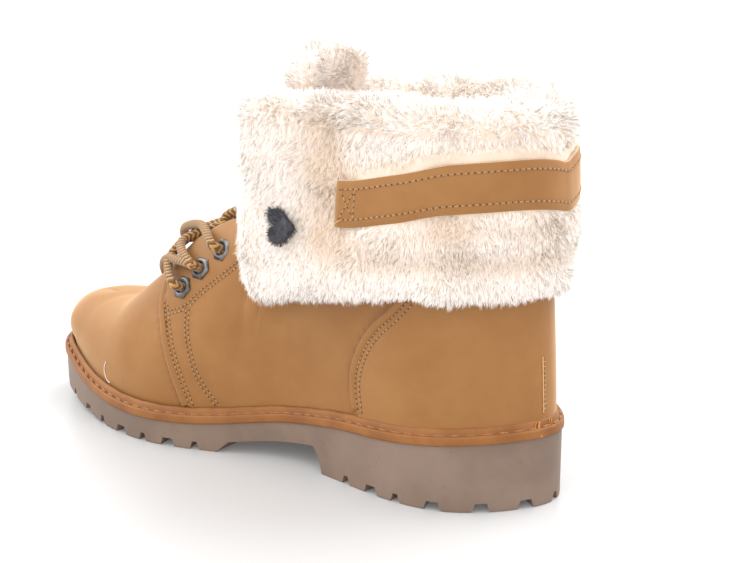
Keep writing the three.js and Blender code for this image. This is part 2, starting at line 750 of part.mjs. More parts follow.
function cuffSection(angle) {
  const share = shareOf(angle);
  const hem = cuffHem + cuff.hem(share) * collarHeight;
  const crown = cuffCrown + cuff.crown(share) * collarHeight;
  const full = cuffThickness * cuff.puff(share);
  const roll = cuffThickness * cuff.roll(share);
  const strapAway = THREE.MathUtils.smoothstep(share, strapEnd, strapEnd + 0.06);
  const bed = THREE.MathUtils.lerp(strapBed, 0.92 * full, strapAway);
  const strap = strapZ(share);
  const low = strap - strapWidth / 2 - strapMargin;
  const high = strap + strapWidth / 2 + strapMargin;
  const inside = -wall / 2;
  const lining = -wall - gap - liningThickness;
  const liningFoot = collarHeight - liningDepth;
  return [
    [inside, hem + 0.18 * cuffThickness],
    [0.5 * roll, hem],
    [0.88 * roll, hem + 0.18 * cuffThickness],
    [roll, hem + 0.53 * cuffThickness],
    [0.95 * Math.max(roll, full), THREE.MathUtils.lerp(hem, low, 0.7)],
    [bed, low],
    [bed - gap, strap],
    [bed, high],
    [0.88 * full, THREE.MathUtils.lerp(high, crown, 0.4)],
    [0.9 * full, crown - 0.47 * cuffThickness],
    [0.72 * full, crown - 0.15 * cuffThickness],
    [0.35 * full, crown],
    [-wall - liningThickness / 3, crown - 0.06 * cuffThickness],
    [lining, crown - 0.3 * cuffThickness],
    [lining, liningFoot + 0.5 * liningThickness],
    [inside, liningFoot],
  ];
}

const cuffLimit = angleOf(cuffEnd);
const cuffAngles = [-cuffLimit, -angleOf(cuffEnd - 0.012), ...angles.filter(angle => shareOf(angle) < cuffEnd - 0.02),
  angleOf(cuffEnd - 0.012), cuffLimit];

// The cuff's front edges lean forward towards the hem.
const cuffLean = 0.03;
const leanStarts = 0.38;

function leaned(angle, z) {
  const nearFront = THREE.MathUtils.smoothstep(shareOf(angle), leanStarts, cuffEnd);
  return angle * (1 + cuffLean * nearFront * (1 - (z - cuffHem) / (cuffCrown - cuffHem)));
}

function cuffBody() {
  const sections = cuffAngles.map(angle => cuffSection(angle).map(([offset, z]) =>
    shaftPoint(leaned(angle, z), offset, z)));
  const flat = cuffSection(cuffLimit).map(([offset, z]) => new THREE.Vector2(offset, z));
  return sweptSolid(sections, flat);
}

// Even but irregular numbers between 0 and 1 for the lie of the locks.
const scatter = i => THREE.MathUtils.euclideanModulo(Math.sin(i * 12.9898) * 43758.5453, 1);

// A lock of fur: a narrow cone rooted in the cuff, hanging along a direction.
function lock(root, direction, length) {
  const geometry = new THREE.ConeGeometry(lockWidth / 2, length, 4);
  geometry.translate(0, length / 4, 0);
  geometry.applyQuaternion(new THREE.Quaternion().setFromUnitVectors(new THREE.Vector3(0, 1, 0), direction));
  geometry.translate(root.x, root.y, root.z);
  return solidOf(geometry);
}

function locks() {
  const all = [];
  const step = 0.1;
  let count = 0;
  for (let angle = -cuffLimit + step; angle < cuffLimit; angle += step) {
    count += 1;
    const share = shareOf(angle);
    const full = cuffThickness * cuff.roll(share);
    const hem = cuffHem + cuff.hem(share) * collarHeight;
    const outward = formNormal(angle, 0.5).setZ(0).normalize();
    const down = outward.clone().multiplyScalar(0.25 + 0.3 * scatter(count)).setZ(-1).normalize();
    const out = 0.62 + 0.3 * scatter(count + 100);
    const root = shaftPoint(leaned(angle, hem), full * out, hem + 0.6 * lockLength);
    all.push(lock(root, down, lockLength * (0.9 + 0.5 * scatter(count + 50))));
  }
  return all;
}

// Strap: sewn on over the fur at both ends, round the back of the cuff

function strapSolid(grow) {
  const limit = angleOf(strapEnd) + grow / 100;
  const stations = [-limit, ...angles.filter(angle => Math.abs(angle) < limit - 0.04), limit];
  const half = strapWidth / 2 + grow;
  const inner = strapBed + gap - grow;
  const outer = strapBed + gap + strapThickness + (grow > 0 ? cutRoom : 0);
  const outline = [[inner, -half], [outer, -half], [outer, half], [inner, half]];
  const sections = stations.map(angle => outline.map(([offset, dz]) =>
    shaftPoint(angle, offset, strapZ(shareOf(angle)) + dz)));
  return sweptSolid(sections, outline.map(([x, y]) => new THREE.Vector2(x, y)));
}

// Heart: a small patch set into the fur near the front, its tip to the heel

const heartShare = 0.385;

function heartSolid(grow) {
  const half = heartSize / 2;
  const shape = new THREE.Shape();
  shape.moveTo(0, -half);
  shape.bezierCurveTo(0.5 * half, -0.5 * half, 1.05 * half, -0.1 * half, half, 0.4 * half);
  shape.bezierCurveTo(0.95 * half, 1.1 * half, 0.2 * half, 1.15 * half, 0, 0.5 * half);
  shape.bezierCurveTo(-0.2 * half, 1.15 * half, -0.95 * half, 1.1 * half, -half, 0.4 * half);
  shape.bezierCurveTo(-1.05 * half, -0.1 * half, -0.5 * half, -0.5 * half, 0, -half);
  const size = 1 + (2 * grow) / heartSize;
  const geometry = new THREE.ExtrudeGeometry(shape, { depth: heartThickness + (grow > 0 ? cutRoom : 0),
    bevelEnabled: false, curveSegments: 4 });
  geometry.scale(size, size, 1);
  geometry.translate(0, 0, -grow);
  const angle = angleOf(heartShare);
  const out = formNormal(angle, 0.6).setZ(0).normalize();
  const tip = new THREE.Vector3(out.y, -out.x, 0);
  const place = shaftPoint(angle, cuffThickness * 0.9, strapHeight - heartDrop);
  const basis = new THREE.Matrix4().makeBasis(new THREE.Vector3().crossVectors(tip, out), tip, out);
  geometry.applyMatrix4(basis.setPosition(place));
  return solidOf(geometry);
}

// The room that the wall of the shaft takes inside the cuff.
function shaftSlot() {
  const outside = formSolid(overlayStep + rearPanelStep + gap, legDrop, collarRoom);
  return outside.subtract(formSolid(-wall - gap, 2 * weltHeight, cutRoom));
}

function cuffSolid() {
  const fur = locks().reduce((all, one) => all.add(one), cuffBody());
  return fur.subtract(shaftSlot()).subtract(strapSolid(gap)).subtract(heartSolid(gap));
}

// Lace: slack crossings between the eyelets, in one piece where they cross

const over = (place, rise) => place.seat.clone().addScaledVector(place.axis, rise);
const placeOf = name => eyeletPlaces.find(place => place.name === name);
const laceStart = eyeletThickness + 3 * gap;
const laceRise = laceStart + 0.8 * laceThickness;
const rooted = place => [over(place, laceStart), over(place, laceRise)];

// Strands from one eyelet to another. Each point is a share of the way across, with how far it lies
// ahead of the straight line between the two and over it.
const laceTable = [
  {
    from: 'medial_1',
    to: 'lateral_2',
    by: [
      { across: 0.13, ahead: 16, above: 9 },
      { across: 0.38, ahead: 16, above: 16 },
      { across: 0.76, ahead: 10, above: 16 },
    ],
  },
  {
    from: 'lateral_1',
    to: 'medial_2',
    by: [
      { across: 0.19, ahead: 29, above: 1.5 },
      { across: 0.43, ahead: 46, above: -12.5 },
      { across: 0.68, ahead: 39, above: -7 },
      { across: 0.91, ahead: 25, above: 1 },
    ],
  },
  {
    from: 'medial_2',
    to: 'lateral_3',
    by: [
      { across: 0.17, ahead: 21, above: 7 },
      { across: 0.43, ahead: 14, above: 10 },
      { across: 0.69, ahead: 10, above: 14 },
    ],
  },
  {
    from: 'lateral_2',
    to: 'medial_3',
    by: [
      { across: 0.2, ahead: 26, above: 4 },
      { across: 0.44, ahead: 42, above: -1 },
      { across: 0.63, ahead: 37, above: 5 },
      { across: 0.82, ahead: 19, above: 9 },
    ],
  },
];

// The end of the lace comes up beside the top eyelet and lies on the tongue: steps from that eyelet.
const laceEndTable = [
  { ahead: 4, left: -16, above: 3.5 },
  { ahead: 10.5, left: -13.5, above: 6.5 },
  { ahead: 11, left: -16, above: 11.5 },
  { ahead: 4, left: -18, above: 15.5 },
  { ahead: -5, left: -19, above: 18.5 },
  { ahead: -14, left: -19, above: 24 },
];

function tube(points) {
  const curve = new THREE.CatmullRomCurve3(points, false, 'centripetal');
  const sides = 6;
  const section = new THREE.Shape(Array.from({ length: sides }, (_, i) => new THREE.Vector2(
    (laceThickness / 2) * Math.cos((2 * Math.PI * i) / sides), (laceThickness / 2) * Math.sin((2 * Math.PI * i) / sides))));
  return solidOf(new THREE.ExtrudeGeometry(section, { steps: 2 * points.length - 2, extrudePath: curve }));
}

function lace() {
  const strands = laceTable.map(({ from, to, by }) => {
    const start = placeOf(`eyelet_${from}`);
    const end = placeOf(`eyelet_${to}`);
    const between = by.map(({ across, ahead, above }) =>
      start.seat.clone().lerp(end.seat, across).add(new THREE.Vector3(ahead, 0, above)));
    return tube([...rooted(start), ...between, ...rooted(end).reverse()]);
  });
  return strands.reduce((all, strand) => all.add(strand));
}

function laceEnd() {
  const { seat } = placeOf('eyelet_medial_3');
  return tube(laceEndTable.map(({ ahead, left, above }) => seat.clone().add(new THREE.Vector3(ahead, left, above))));
}

const group = new THREE.Group();

function addPiece(name, solid, material) {
  const mesh = new THREE.Mesh(geometryOf(solid), material);
  mesh.name = name;
  group.add(mesh);
}

addPiece('outsole', outsole(), materials.sole);
addPiece('welt', welt(), materials.welt);
addPiece('insole', insole(), materials.footbed);
addPiece('upper', upper(), materials.nubuck);
addPiece('tongue', tongue(), materials.fur);
addPiece('cuff', cuffSolid(), materials.fur);
addPiece('strap', strapSolid(0), materials.strap);
addPiece('heart_patch', heartSolid(0), materials.heart);
for (const place of eyeletPlaces) addPiece(place.name, eyelet(place), materials.metal);
addPiece('lace', lace(), materials.lace);
addPiece('lace_end', laceEnd(), materials.lace);

group.position.x = -heelRestAt;
export default group;
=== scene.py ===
# A tan nubuck ankle boot with a fur cuff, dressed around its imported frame. Metres, toe along +X.
import json
import math
import random
import bmesh
import bpy
import numpy as np
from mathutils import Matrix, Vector, kdtree, noise

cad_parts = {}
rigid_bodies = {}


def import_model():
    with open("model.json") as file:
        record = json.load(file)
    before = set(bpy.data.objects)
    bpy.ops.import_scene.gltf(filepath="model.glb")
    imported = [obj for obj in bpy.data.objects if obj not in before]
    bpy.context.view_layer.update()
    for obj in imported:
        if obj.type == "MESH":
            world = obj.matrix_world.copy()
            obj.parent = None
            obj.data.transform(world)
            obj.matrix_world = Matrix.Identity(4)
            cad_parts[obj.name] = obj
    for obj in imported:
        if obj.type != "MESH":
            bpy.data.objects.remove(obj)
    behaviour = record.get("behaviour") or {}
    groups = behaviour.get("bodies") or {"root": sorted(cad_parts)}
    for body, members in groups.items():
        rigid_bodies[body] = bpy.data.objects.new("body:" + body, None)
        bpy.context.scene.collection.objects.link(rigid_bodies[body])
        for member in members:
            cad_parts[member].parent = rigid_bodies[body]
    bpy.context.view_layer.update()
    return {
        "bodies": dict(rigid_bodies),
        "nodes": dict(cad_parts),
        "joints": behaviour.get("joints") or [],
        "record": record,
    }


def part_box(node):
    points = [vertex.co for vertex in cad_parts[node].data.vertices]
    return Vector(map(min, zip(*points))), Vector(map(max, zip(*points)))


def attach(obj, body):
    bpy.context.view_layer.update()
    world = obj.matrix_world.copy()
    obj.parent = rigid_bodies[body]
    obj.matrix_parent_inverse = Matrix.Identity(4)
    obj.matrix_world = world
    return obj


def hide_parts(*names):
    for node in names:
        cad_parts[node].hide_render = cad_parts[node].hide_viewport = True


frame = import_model()
print("frame loaded:", len(frame["nodes"]), "nodes")

mm = 0.001
heelRestAt = 43  # the frame's origin lies this far in front of the back of the sole
scene = bpy.context.scene
rng = np.random.default_rng(11)
dice = random.Random(5)

# Camera

view = {"place": (-282.2, 480.6, 233.5), "target": (50.4, 0, 81.9), "lens": 65.0, "sensor": 36}


def makeCamera():
    data = bpy.data.cameras.new("camera")
    data.lens, data.sensor_width = view["lens"], view["sensor"]
    data.clip_start, data.clip_end = 0.01, 20
    camera = bpy.data.objects.new("camera", data)
    place, target = Vector(view["place"]) * mm, Vector(view["target"]) * mm
    camera.location = place
    camera.rotation_euler = (target - place).to_track_quat("-Z", "Y").to_euler()
    scene.collection.objects.link(camera)
    scene.camera = camera


makeCamera()
print("camera ready")

# Sizes of the boot, in millimetres, as the frame has them

sole = {
    "length": 285, "ballWidth": 100, "heelWidth": 79, "heelHeight": 30.8, "ballHeight": 11.9,
    "toeHeight": 26.3, "toeSpring": 10, "lugDepth": 4, "lugReach": 14,
    "wideNotch": 5, "narrowNotch": 2.2, "notchTaper": 0.35, "treadBar": 8, "treadGap": 8.5,
    "breastAt": 100, "archHeight": 12, "forefootAt": 155, "around": 256,
}
weltSizes = {"width": 5, "band": 4.2, "bead": 2.8, "stitchPitch": 6.6, "stitchLength": 4.7}
upperSizes = {
    "wall": 2.4, "step": 1, "rearStep": 0.9, "toeBox": 53, "collar": 160, "collarWidth": 76,
    "throatTop": 62, "columns": 320, "rows": 92,
}
gap = 0.3

planTable = [  # at, medial, lateral: shares of half the local width
    (0, 0, 0), (0.021, 0.39, -0.38), (0.063, 0.73, -0.7), (0.123, 0.99, -0.93), (0.21, 1.05, -0.97),
    (0.333, 0.9, -0.97), (0.44, 0.745, -0.925), (0.544, 0.85, -0.93), (0.65, 0.99, -1),
    (0.737, 0.97, -1.03), (0.825, 0.83, -0.96), (0.905, 0.62, -0.78), (0.961, 0.415, -0.54),
    (0.989, 0.19, -0.31), (1, -0.08, -0.08),
]
levelTable = [  # at, heel, toe, spring
    (0, 1, 0, 0), (0.09, 0.93, 0, 0), (0.207, 0.78, 0, 0), (0.3, 0.67, 0, 0), (0.35, 0.56, 0, 0),
    (0.415, 0.39, 0, 0), (0.52, 0.14, 0, 0), (0.6, 0.02, 0, 0), (0.7, 0, 0, 0), (0.77, 0, 0.08, 0.04),
    (0.83, 0, 0.23, 0.16), (0.88, 0, 0.45, 0.3), (0.94, 0, 0.75, 0.52), (1, 0, 1, 1),
]
topTable = [  # at, along, half, toe, collar, bow, swell
    (0, 0.052, 0, 0, 1, 2, 0.3), (0.05, 0.06, 0.34, 0, 1, 2, 0.3), (0.12, 0.094, 0.7, 0, 1, 2, 0.3),
    (0.2, 0.155, 0.92, 0, 1, 2, 0.3), (0.28, 0.236, 1, 0, 1, 2, 0), (0.35, 0.316, 1, 0, 1, 1.9, 0),
    (0.41, 0.393, 0.99, 0, 1, 1.7, 0.2), (0.46, 0.446, 0.9, 0, 1, 1.4, 0.3),
    (0.5, 0.478, 0.5, 0, 1, 1.2, 0.3), (0.52, 0.484, 0, 0, 1, 1.15, 0.3),
    (0.57, 0.508, 0, 0, 0.88, 1.1, 0.3), (0.62, 0.548, 0, 0, 0.755, 1.18, 0.3),
    (0.67, 0.594, 0, 0, 0.685, 1.24, 0.3), (0.72, 0.643, 0, 0, 0.61, 1.22, 0.3),
    (0.77, 0.7, 0, 0.5, 0.33, 1, 0.3), (0.83, 0.765, 0, 0.98, 0.06, 0.8, 0.3),
    (0.9, 0.825, 0, 1.04, 0, 0.7, 0.5), (0.96, 0.87, 0, 1.02, 0, 0.64, 0.9), (1, 0.89, 0, 1, 0, 0.64, 0.9),
]


def angleOf(share):
    return np.arccos(1 - 2 * np.clip(share, 0, 1))


def shareOf(angle):
    return (1 - np.cos(angle)) / 2


def columnsOf(table, names):
    knots = angleOf(np.array([row[0] for row in table], float))
    last = len(table) - 1
    found = {}
    for k, name in enumerate(names):
        values = np.array([row[k + 1] for row in table], float)
        before = np.maximum(np.arange(last + 1) - 1, 0)
        after = np.minimum(np.arange(last + 1) + 1, last)
        slopes = (values[after] - values[before]) / (knots[after] - knots[before])

        def column(share, values=values, slopes=slopes):
            angle = angleOf(np.asarray(share, float))
            i = np.clip(np.searchsorted(knots, angle, side="left") - 1, 0, last - 1)
            span = knots[i + 1] - knots[i]
            t = (angle - knots[i]) / span
            stay = 2 * t ** 3 - 3 * t ** 2 + 1
            leave = (t ** 3 - 2 * t ** 2 + t) * span
            arrive = (t ** 3 - t ** 2) * span
            return values[i] * stay + values[i + 1] * (1 - stay) + slopes[i] * leave + slopes[i + 1] * arrive

        found[name] = column
    return found


plan = columnsOf(planTable, ["medial", "lateral"])
level = columnsOf(levelTable, ["heel", "toe", "spring"])
top = columnsOf(topTable, ["along", "half", "toe", "collar", "bow", "swell"])


def smooth(x, low, high):
    t = np.clip((x - low) / (high - low), 0, 1)
    return t * t * (3 - 2 * t)


def unit(v):
    return v / np.maximum(np.linalg.norm(v, axis=-1, keepdims=True), 1e-9)


def halfWidth(share):
    t = smooth(share, 0.33, 0.6)
    return (sole["heelWidth"] * (1 - t) + sole["ballWidth"] * t) / 2


def weltLine(share):
    ball = sole["ballHeight"]
    heel, toe = level["heel"](share), level["toe"](share)
    return ball + (sole["heelHeight"] - ball) * heel + (sole["toeHeight"] - ball) * toe


def groundLine(share):
    return sole["toeSpring"] * np.maximum(0, level["spring"](share))


def outlineAt(angle):
    turn = np.mod(angle + math.pi, 2 * math.pi) - math.pi
    share = shareOf(turn)
    side = np.where(turn >= 0, plan["medial"](share), plan["lateral"](share))
    return np.stack([share * sole["length"], side * halfWidth(share)], -1)


def outwardAt(angle):
    along = unit(outlineAt(angle + 0.02) - outlineAt(angle - 0.02))
    return np.stack([-along[..., 1], along[..., 0]], -1)


def insetOutline(angle, inset):
    return outlineAt(angle) - outwardAt(angle) * np.asarray(inset)[..., None]


weltHeight = weltSizes["band"] + weltSizes["bead"]
footInset = weltSizes["width"] + gap


def featherLine(share):
    return weltLine(share) + weltHeight


def formPoint(angle, rise):
    angle, rise = np.broadcast_arrays(np.asarray(angle, float), np.asarray(rise, float))
    share = shareOf(angle)
    foot = insetOutline(angle, footInset)
    half = np.where(share > 0.52, 0, np.maximum(0, top["half"](share)))
    crest = np.stack([top["along"](share) * sole["length"],
                      np.sign(angle) * half * upperSizes["collarWidth"] / 2], -1)
    crestZ = top["toe"](share) * upperSizes["toeBox"] + top["collar"](share) * upperSizes["collar"]
    outward = outwardAt(angle)
    bow = top["bow"](share)
    inward = 1 - np.cos(np.arcsin(np.clip(rise ** (1 / bow), 0, 1))) ** bow
    reach = crest - foot
    across = np.sum(reach * outward, -1)
    swell = top["swell"](share) * upperSizes["wall"] * 6.75 * rise * (1 - rise) ** 2
    rest = reach - outward * across[..., None]
    place = foot + outward * (across * inward + swell)[..., None] + rest * rise[..., None]
    footZ = featherLine(share)
    return np.concatenate([place, (footZ + (crestZ - footZ) * rise)[..., None]], -1)


def wrapped(angle):
    return np.mod(angle + math.pi, 2 * math.pi) - math.pi


def formNormal(angle, rise):
    along = formPoint(wrapped(angle + 0.02), rise) - formPoint(wrapped(angle - 0.02), rise)
    up = formPoint(angle, np.minimum(1, rise + 0.01)) - formPoint(angle, np.maximum(0, rise - 0.01))
    return unit(np.cross(up, along))


def skinPoint(angle, rise, offset):
    normal = formNormal(angle, rise)
    crown = (rise > 0.995) & (shareOf(angle) > 0.52)
    both = unit(normal + formNormal(-angle, rise))
    normal = np.where(crown[..., None], both, normal)
    return formPoint(angle, rise) + normal * np.asarray(offset)[..., None]


def inFrame(points):
    return (np.asarray(points) - np.array([heelRestAt, 0, 0])) * mm


# Mesh helpers


def objectFrom(bm, name, material, smoothShade=True):
    mesh = bpy.data.meshes.new(name)
    bm.to_mesh(mesh)
    bm.free()
    mesh.shade_smooth() if smoothShade else mesh.shade_flat()
    made = bpy.data.objects.new(name, mesh)
    scene.collection.objects.link(made)
    made.data.materials.append(material)
    return made


def gridMesh(columns, rows, place):
    # u and v run from 0 to 1 and place() gives their points.
    bm = bmesh.new()
    layer = bm.loops.layers.uv.new("UVMap")
    bmesh.ops.create_grid(bm, x_segments=columns, y_segments=rows, size=0.5)
    flat = np.array([v.co[:2] for v in bm.verts]) + 0.5
    bm.verts.index_update()
    for face in bm.faces:
        for loop in face.loops:
            loop[layer].uv = flat[loop.vert.index]
    points = inFrame(place(np.clip(flat[:, 0], 0, 1), np.clip(flat[:, 1], 0, 1)))
    for vert, point in zip(bm.verts, points):
        vert.co = point
    return bm


def finished(bm, merge=0.00002, fill=False):
    bmesh.ops.remove_doubles(bm, verts=bm.verts[:], dist=merge)
    if fill:
        bmesh.ops.holes_fill(bm, edges=bm.edges[:], sides=0)
    bmesh.ops.recalc_face_normals(bm, faces=bm.faces[:])
    return bm


def pour(part, whole):
    mesh = bpy.data.meshes.new("part")
    part.to_mesh(mesh)
    part.free()
    whole.from_mesh(mesh)
    bpy.data.meshes.remove(mesh)


def applyModifiers(made):
    graph = bpy.context.evaluated_depsgraph_get()
    graph.update()
    mesh = bpy.data.meshes.new_from_object(made.evaluated_get(graph), preserve_all_data_layers=True,
                                           depsgraph=graph)
    made.modifiers.clear()
    old = made.data
    made.data = mesh
    bpy.data.meshes.remove(old)
    return made


def place(made, slot, *nodes):
    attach(made, "root")
    if nodes:
        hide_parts(*nodes)
    return made


# Materials: shared effects are groups, shaders stay in each material


def newGroup(name, inputs, outputs):
    tree = bpy.data.node_groups.new(name, "ShaderNodeTree")
    for label, kind, value in inputs:
        socket = tree.interface.new_socket(label, in_out="INPUT", socket_type=kind)
        if value is not None:
            socket.default_value = value
    for label, kind in outputs:
        tree.interface.new_socket(label, in_out="OUTPUT", socket_type=kind)
    return tree, tree.nodes.new("NodeGroupInput"), tree.nodes.new("NodeGroupOutput")


def node(tree, kind, **values):
    made = tree.nodes.new(kind)
    for key, value in values.items():
        if key in made.inputs:
            made.inputs[key].default_value = value
        else:
            setattr(made, key, value)
    return made


def mathNode(tree, operation, a, b=None, clamp=False):
    made = tree.nodes.new("ShaderNodeMath")
    made.operation, made.use_clamp = operation, clamp
    for i, value in enumerate([a, b]):
        if value is None:
            continue
        if isinstance(value, (int, float)):
            made.inputs[i].default_value = value
        else:
            tree.links.new(value, made.inputs[i])
    return made.outputs[0]


def ramp(tree, value, low, high):
    made = tree.nodes.new("ShaderNodeMapRange")
    made.interpolation_type = "SMOOTHSTEP"
    made.inputs["From Min"].default_value, made.inputs["From Max"].default_value = low, high
    tree.links.new(value, made.inputs["Value"])
    return made.outputs["Result"]


def mixColor(tree, factor, a, b, blend="MIX"):
    made = tree.nodes.new("ShaderNodeMix")
    made.data_type, made.blend_type = "RGBA", blend
    for socket, value in ((made.inputs[0], factor), (made.inputs[6], a), (made.inputs[7], b)):
        if isinstance(value, (int, float, tuple)):
            socket.default_value = value
        else:
            tree.links.new(value, socket)
    return made.outputs[2]


def srgb(r, g, b):
    def linear(c):
        c /= 255
        return c / 12.92 if c < 0.04045 else ((c + 0.055) / 1.055) ** 2.4
    return (linear(r), linear(g), linear(b), 1)


def makeMottle():
    # Soft patches and fine grain at a point: two masks around a half.
    tree, start, end = newGroup("mottle", [
        ("Point", "NodeSocketVector", None), ("Patch", "NodeSocketFloat", 30.0),
        ("Grain", "NodeSocketFloat", 900.0),
    ], [("Patches", "NodeSocketFloat"), ("Fine", "NodeSocketFloat")])
    for label, scaleName, detail in (("Patches", "Patch", 4.0), ("Fine", "Grain", 3.0)):
        noiseNode = node(tree, "ShaderNodeTexNoise", Detail=detail, Roughness=0.6)
        tree.links.new(start.outputs["Point"], noiseNode.inputs["Vector"])
        tree.links.new(start.outputs[scaleName], noiseNode.inputs["Scale"])
        tree.links.new(noiseNode.outputs["Fac"], end.inputs[label])
    return tree


mottle = makeMottle()


def newMaterial(name):
    material = bpy.data.materials.new(name)
    material.use_nodes = True
    tree = material.node_tree
    shader = tree.nodes["Principled BSDF"]
    point = tree.nodes.new("ShaderNodeTexCoord").outputs["Object"]
    return material, tree, shader, point


def placeMottle(tree, point, patch, grain):
    made = tree.nodes.new("ShaderNodeGroup")
    made.node_tree = mottle
    made.inputs["Patch"].default_value, made.inputs["Grain"].default_value = patch, grain
    tree.links.new(point, made.inputs["Point"])
    return made.outputs["Patches"], made.outputs["Fine"]


def bump(tree, shader, height, distance, strength=1.0):
    made = node(tree, "ShaderNodeBump", Strength=strength, Distance=distance)
    tree.links.new(height, made.inputs["Height"])
    tree.links.new(made.outputs["Normal"], shader.inputs["Normal"])
    return made


def attributeOf(tree, name):
    made = tree.nodes.new("ShaderNodeAttribute")
    made.attribute_name = name
    return made.outputs["Fac"]


leather = {"tan": srgb(147, 99, 47), "dark": srgb(133, 85, 35), "pale": srgb(160, 114, 62), "rough": 0.56}


def leatherMaterial(name, base, dark, pale, shadeAttribute=None):
    # Nubuck: soft patches where the nap lies another way, fine grain and a little sheen.
    material, tree, shader, point = newMaterial(name)
    patches, fine = placeMottle(tree, point, 34.0, 1500.0)
    color = mixColor(tree, ramp(tree, patches, 0.3, 0.72), dark, pale)
    color = mixColor(tree, 0.62, color, base)
    color = mixColor(tree, ramp(tree, fine, 0.2, 0.8), mixColor(tree, 0.1, color, dark), color)
    if shadeAttribute:
        # Painted shade from the 'shade' attribute: darker brown in front of the panel folds and along the
        # seams
        color = mixColor(tree, attributeOf(tree, shadeAttribute), color, srgb(112, 66, 28))
    tree.links.new(color, shader.inputs["Base Color"])
    rough = mathNode(tree, "MULTIPLY_ADD", fine, 0.2)
    rough.node.inputs[2].default_value = leather["rough"] - 0.1
    tree.links.new(rough, shader.inputs["Roughness"])
    shader.inputs["Specular IOR Level"].default_value = 0.42
    shader.inputs["Sheen Weight"].default_value = 0.7
    shader.inputs["Sheen Roughness"].default_value = 0.4
    shader.inputs["Sheen Tint"].default_value = srgb(240, 205, 160)
    height = mathNode(tree, "ADD", mathNode(tree, "MULTIPLY", patches, 0.6),
                      mathNode(tree, "MULTIPLY", fine, 0.4))
    bump(tree, shader, height, 0.0003, 0.35)
    return material


def makeFurMaterial(name, tip, root):
    # Wool: paler to the tips, in soft uneven patches, with a sheen in place of scattered light.
    material, tree, shader, point = newMaterial(name)
    patches, fine = placeMottle(tree, point, 55.0, 420.0)
    # The 'tip' attribute carries the wool's root colour together with painted shade between the hairs and in
    # the fur's valleys
    color = mixColor(tree, attributeOf(tree, "tip"), root, tip)
    color = mixColor(tree, mathNode(tree, "MULTIPLY", ramp(tree, patches, 0.45, 0.8), 0.35), color,
                     srgb(238, 223, 210))
    tree.links.new(color, shader.inputs["Base Color"])
    shader.inputs["Roughness"].default_value = 0.85
    shader.inputs["Specular IOR Level"].default_value = 0.25
    shader.inputs["Sheen Weight"].default_value = 0.4
    shader.inputs["Sheen Roughness"].default_value = 0.6
    # Painted glow: the wool emits its own colour at an even strength, standing in for light that scatters in
    # the pile
    tree.links.new(color, shader.inputs["Emission Color"])
    shader.inputs["Emission Strength"].default_value = 0.15  # light that scatters in the pile
    bump(tree, shader, fine, 0.0006, 0.25)
    return material


def makeSoleMaterial():
    material, tree, shader, point = newMaterial("sole_rubber")
    patches, fine = placeMottle(tree, point, 26.0, 700.0)
    color = mixColor(tree, ramp(tree, patches, 0.25, 0.75), srgb(114, 95, 82), srgb(134, 113, 98))
    specks = node(tree, "ShaderNodeTexVoronoi", Scale=160.0)
    tree.links.new(point, specks.inputs["Vector"])
    speck = mathNode(tree, "SUBTRACT", 1.0, ramp(tree, specks.outputs["Distance"], 0.05, 0.11))
    color = mixColor(tree, mathNode(tree, "MULTIPLY", speck, 0.35), color, srgb(96, 76, 64))
    tree.links.new(color, shader.inputs["Base Color"])
    rough = mathNode(tree, "MULTIPLY_ADD", patches, 0.25)
    rough.node.inputs[2].default_value = 0.42
    tree.links.new(rough, shader.inputs["Roughness"])
    shader.inputs["Specular IOR Level"].default_value = 0.4
    bump(tree, shader, mathNode(tree, "ADD", patches, mathNode(tree, "MULTIPLY", fine, 0.3)), 0.0004, 0.35)
    return material


def makeWeltMaterial():
    material, tree, shader, point = newMaterial("welt_strip")
    patches, fine = placeMottle(tree, point, 60.0, 900.0)
    color = mixColor(tree, ramp(tree, patches, 0.3, 0.7), srgb(126, 75, 26), srgb(145, 92, 40))
    tree.links.new(color, shader.inputs["Base Color"])
    shader.inputs["Roughness"].default_value = 0.5
    shader.inputs["Specular IOR Level"].default_value = 0.4
    bump(tree, shader, mathNode(tree, "ADD", patches, mathNode(tree, "MULTIPLY", fine, 0.5)), 0.0004, 0.4)
    return material


def makeThreadMaterial(name, color, dark):
    material, tree, shader, point = newMaterial(name)
    fine = placeMottle(tree, point, 120.0, 1800.0)[1]
    tree.links.new(mixColor(tree, ramp(tree, fine, 0.3, 0.7), dark, color), shader.inputs["Base Color"])
    shader.inputs["Roughness"].default_value = 0.75
    shader.inputs["Sheen Weight"].default_value = 0.2
    bump(tree, shader, fine, 0.0002, 0.6)
    return material


def makeMetalMaterial():
    material, tree, shader, point = newMaterial("eyelet_metal")
    patches, fine = placeMottle(tree, point, 260.0, 2000.0)
    color = mixColor(tree, ramp(tree, patches, 0.3, 0.7), srgb(82, 80, 80), srgb(140, 138, 136))
    tree.links.new(color, shader.inputs["Base Color"])
    shader.inputs["Metallic"].default_value = 0.9
    rough = mathNode(tree, "MULTIPLY_ADD", patches, 0.3)
    rough.node.inputs[2].default_value = 0.28
    tree.links.new(rough, shader.inputs["Roughness"])
    bump(tree, shader, fine, 0.0001, 0.3)
    return material


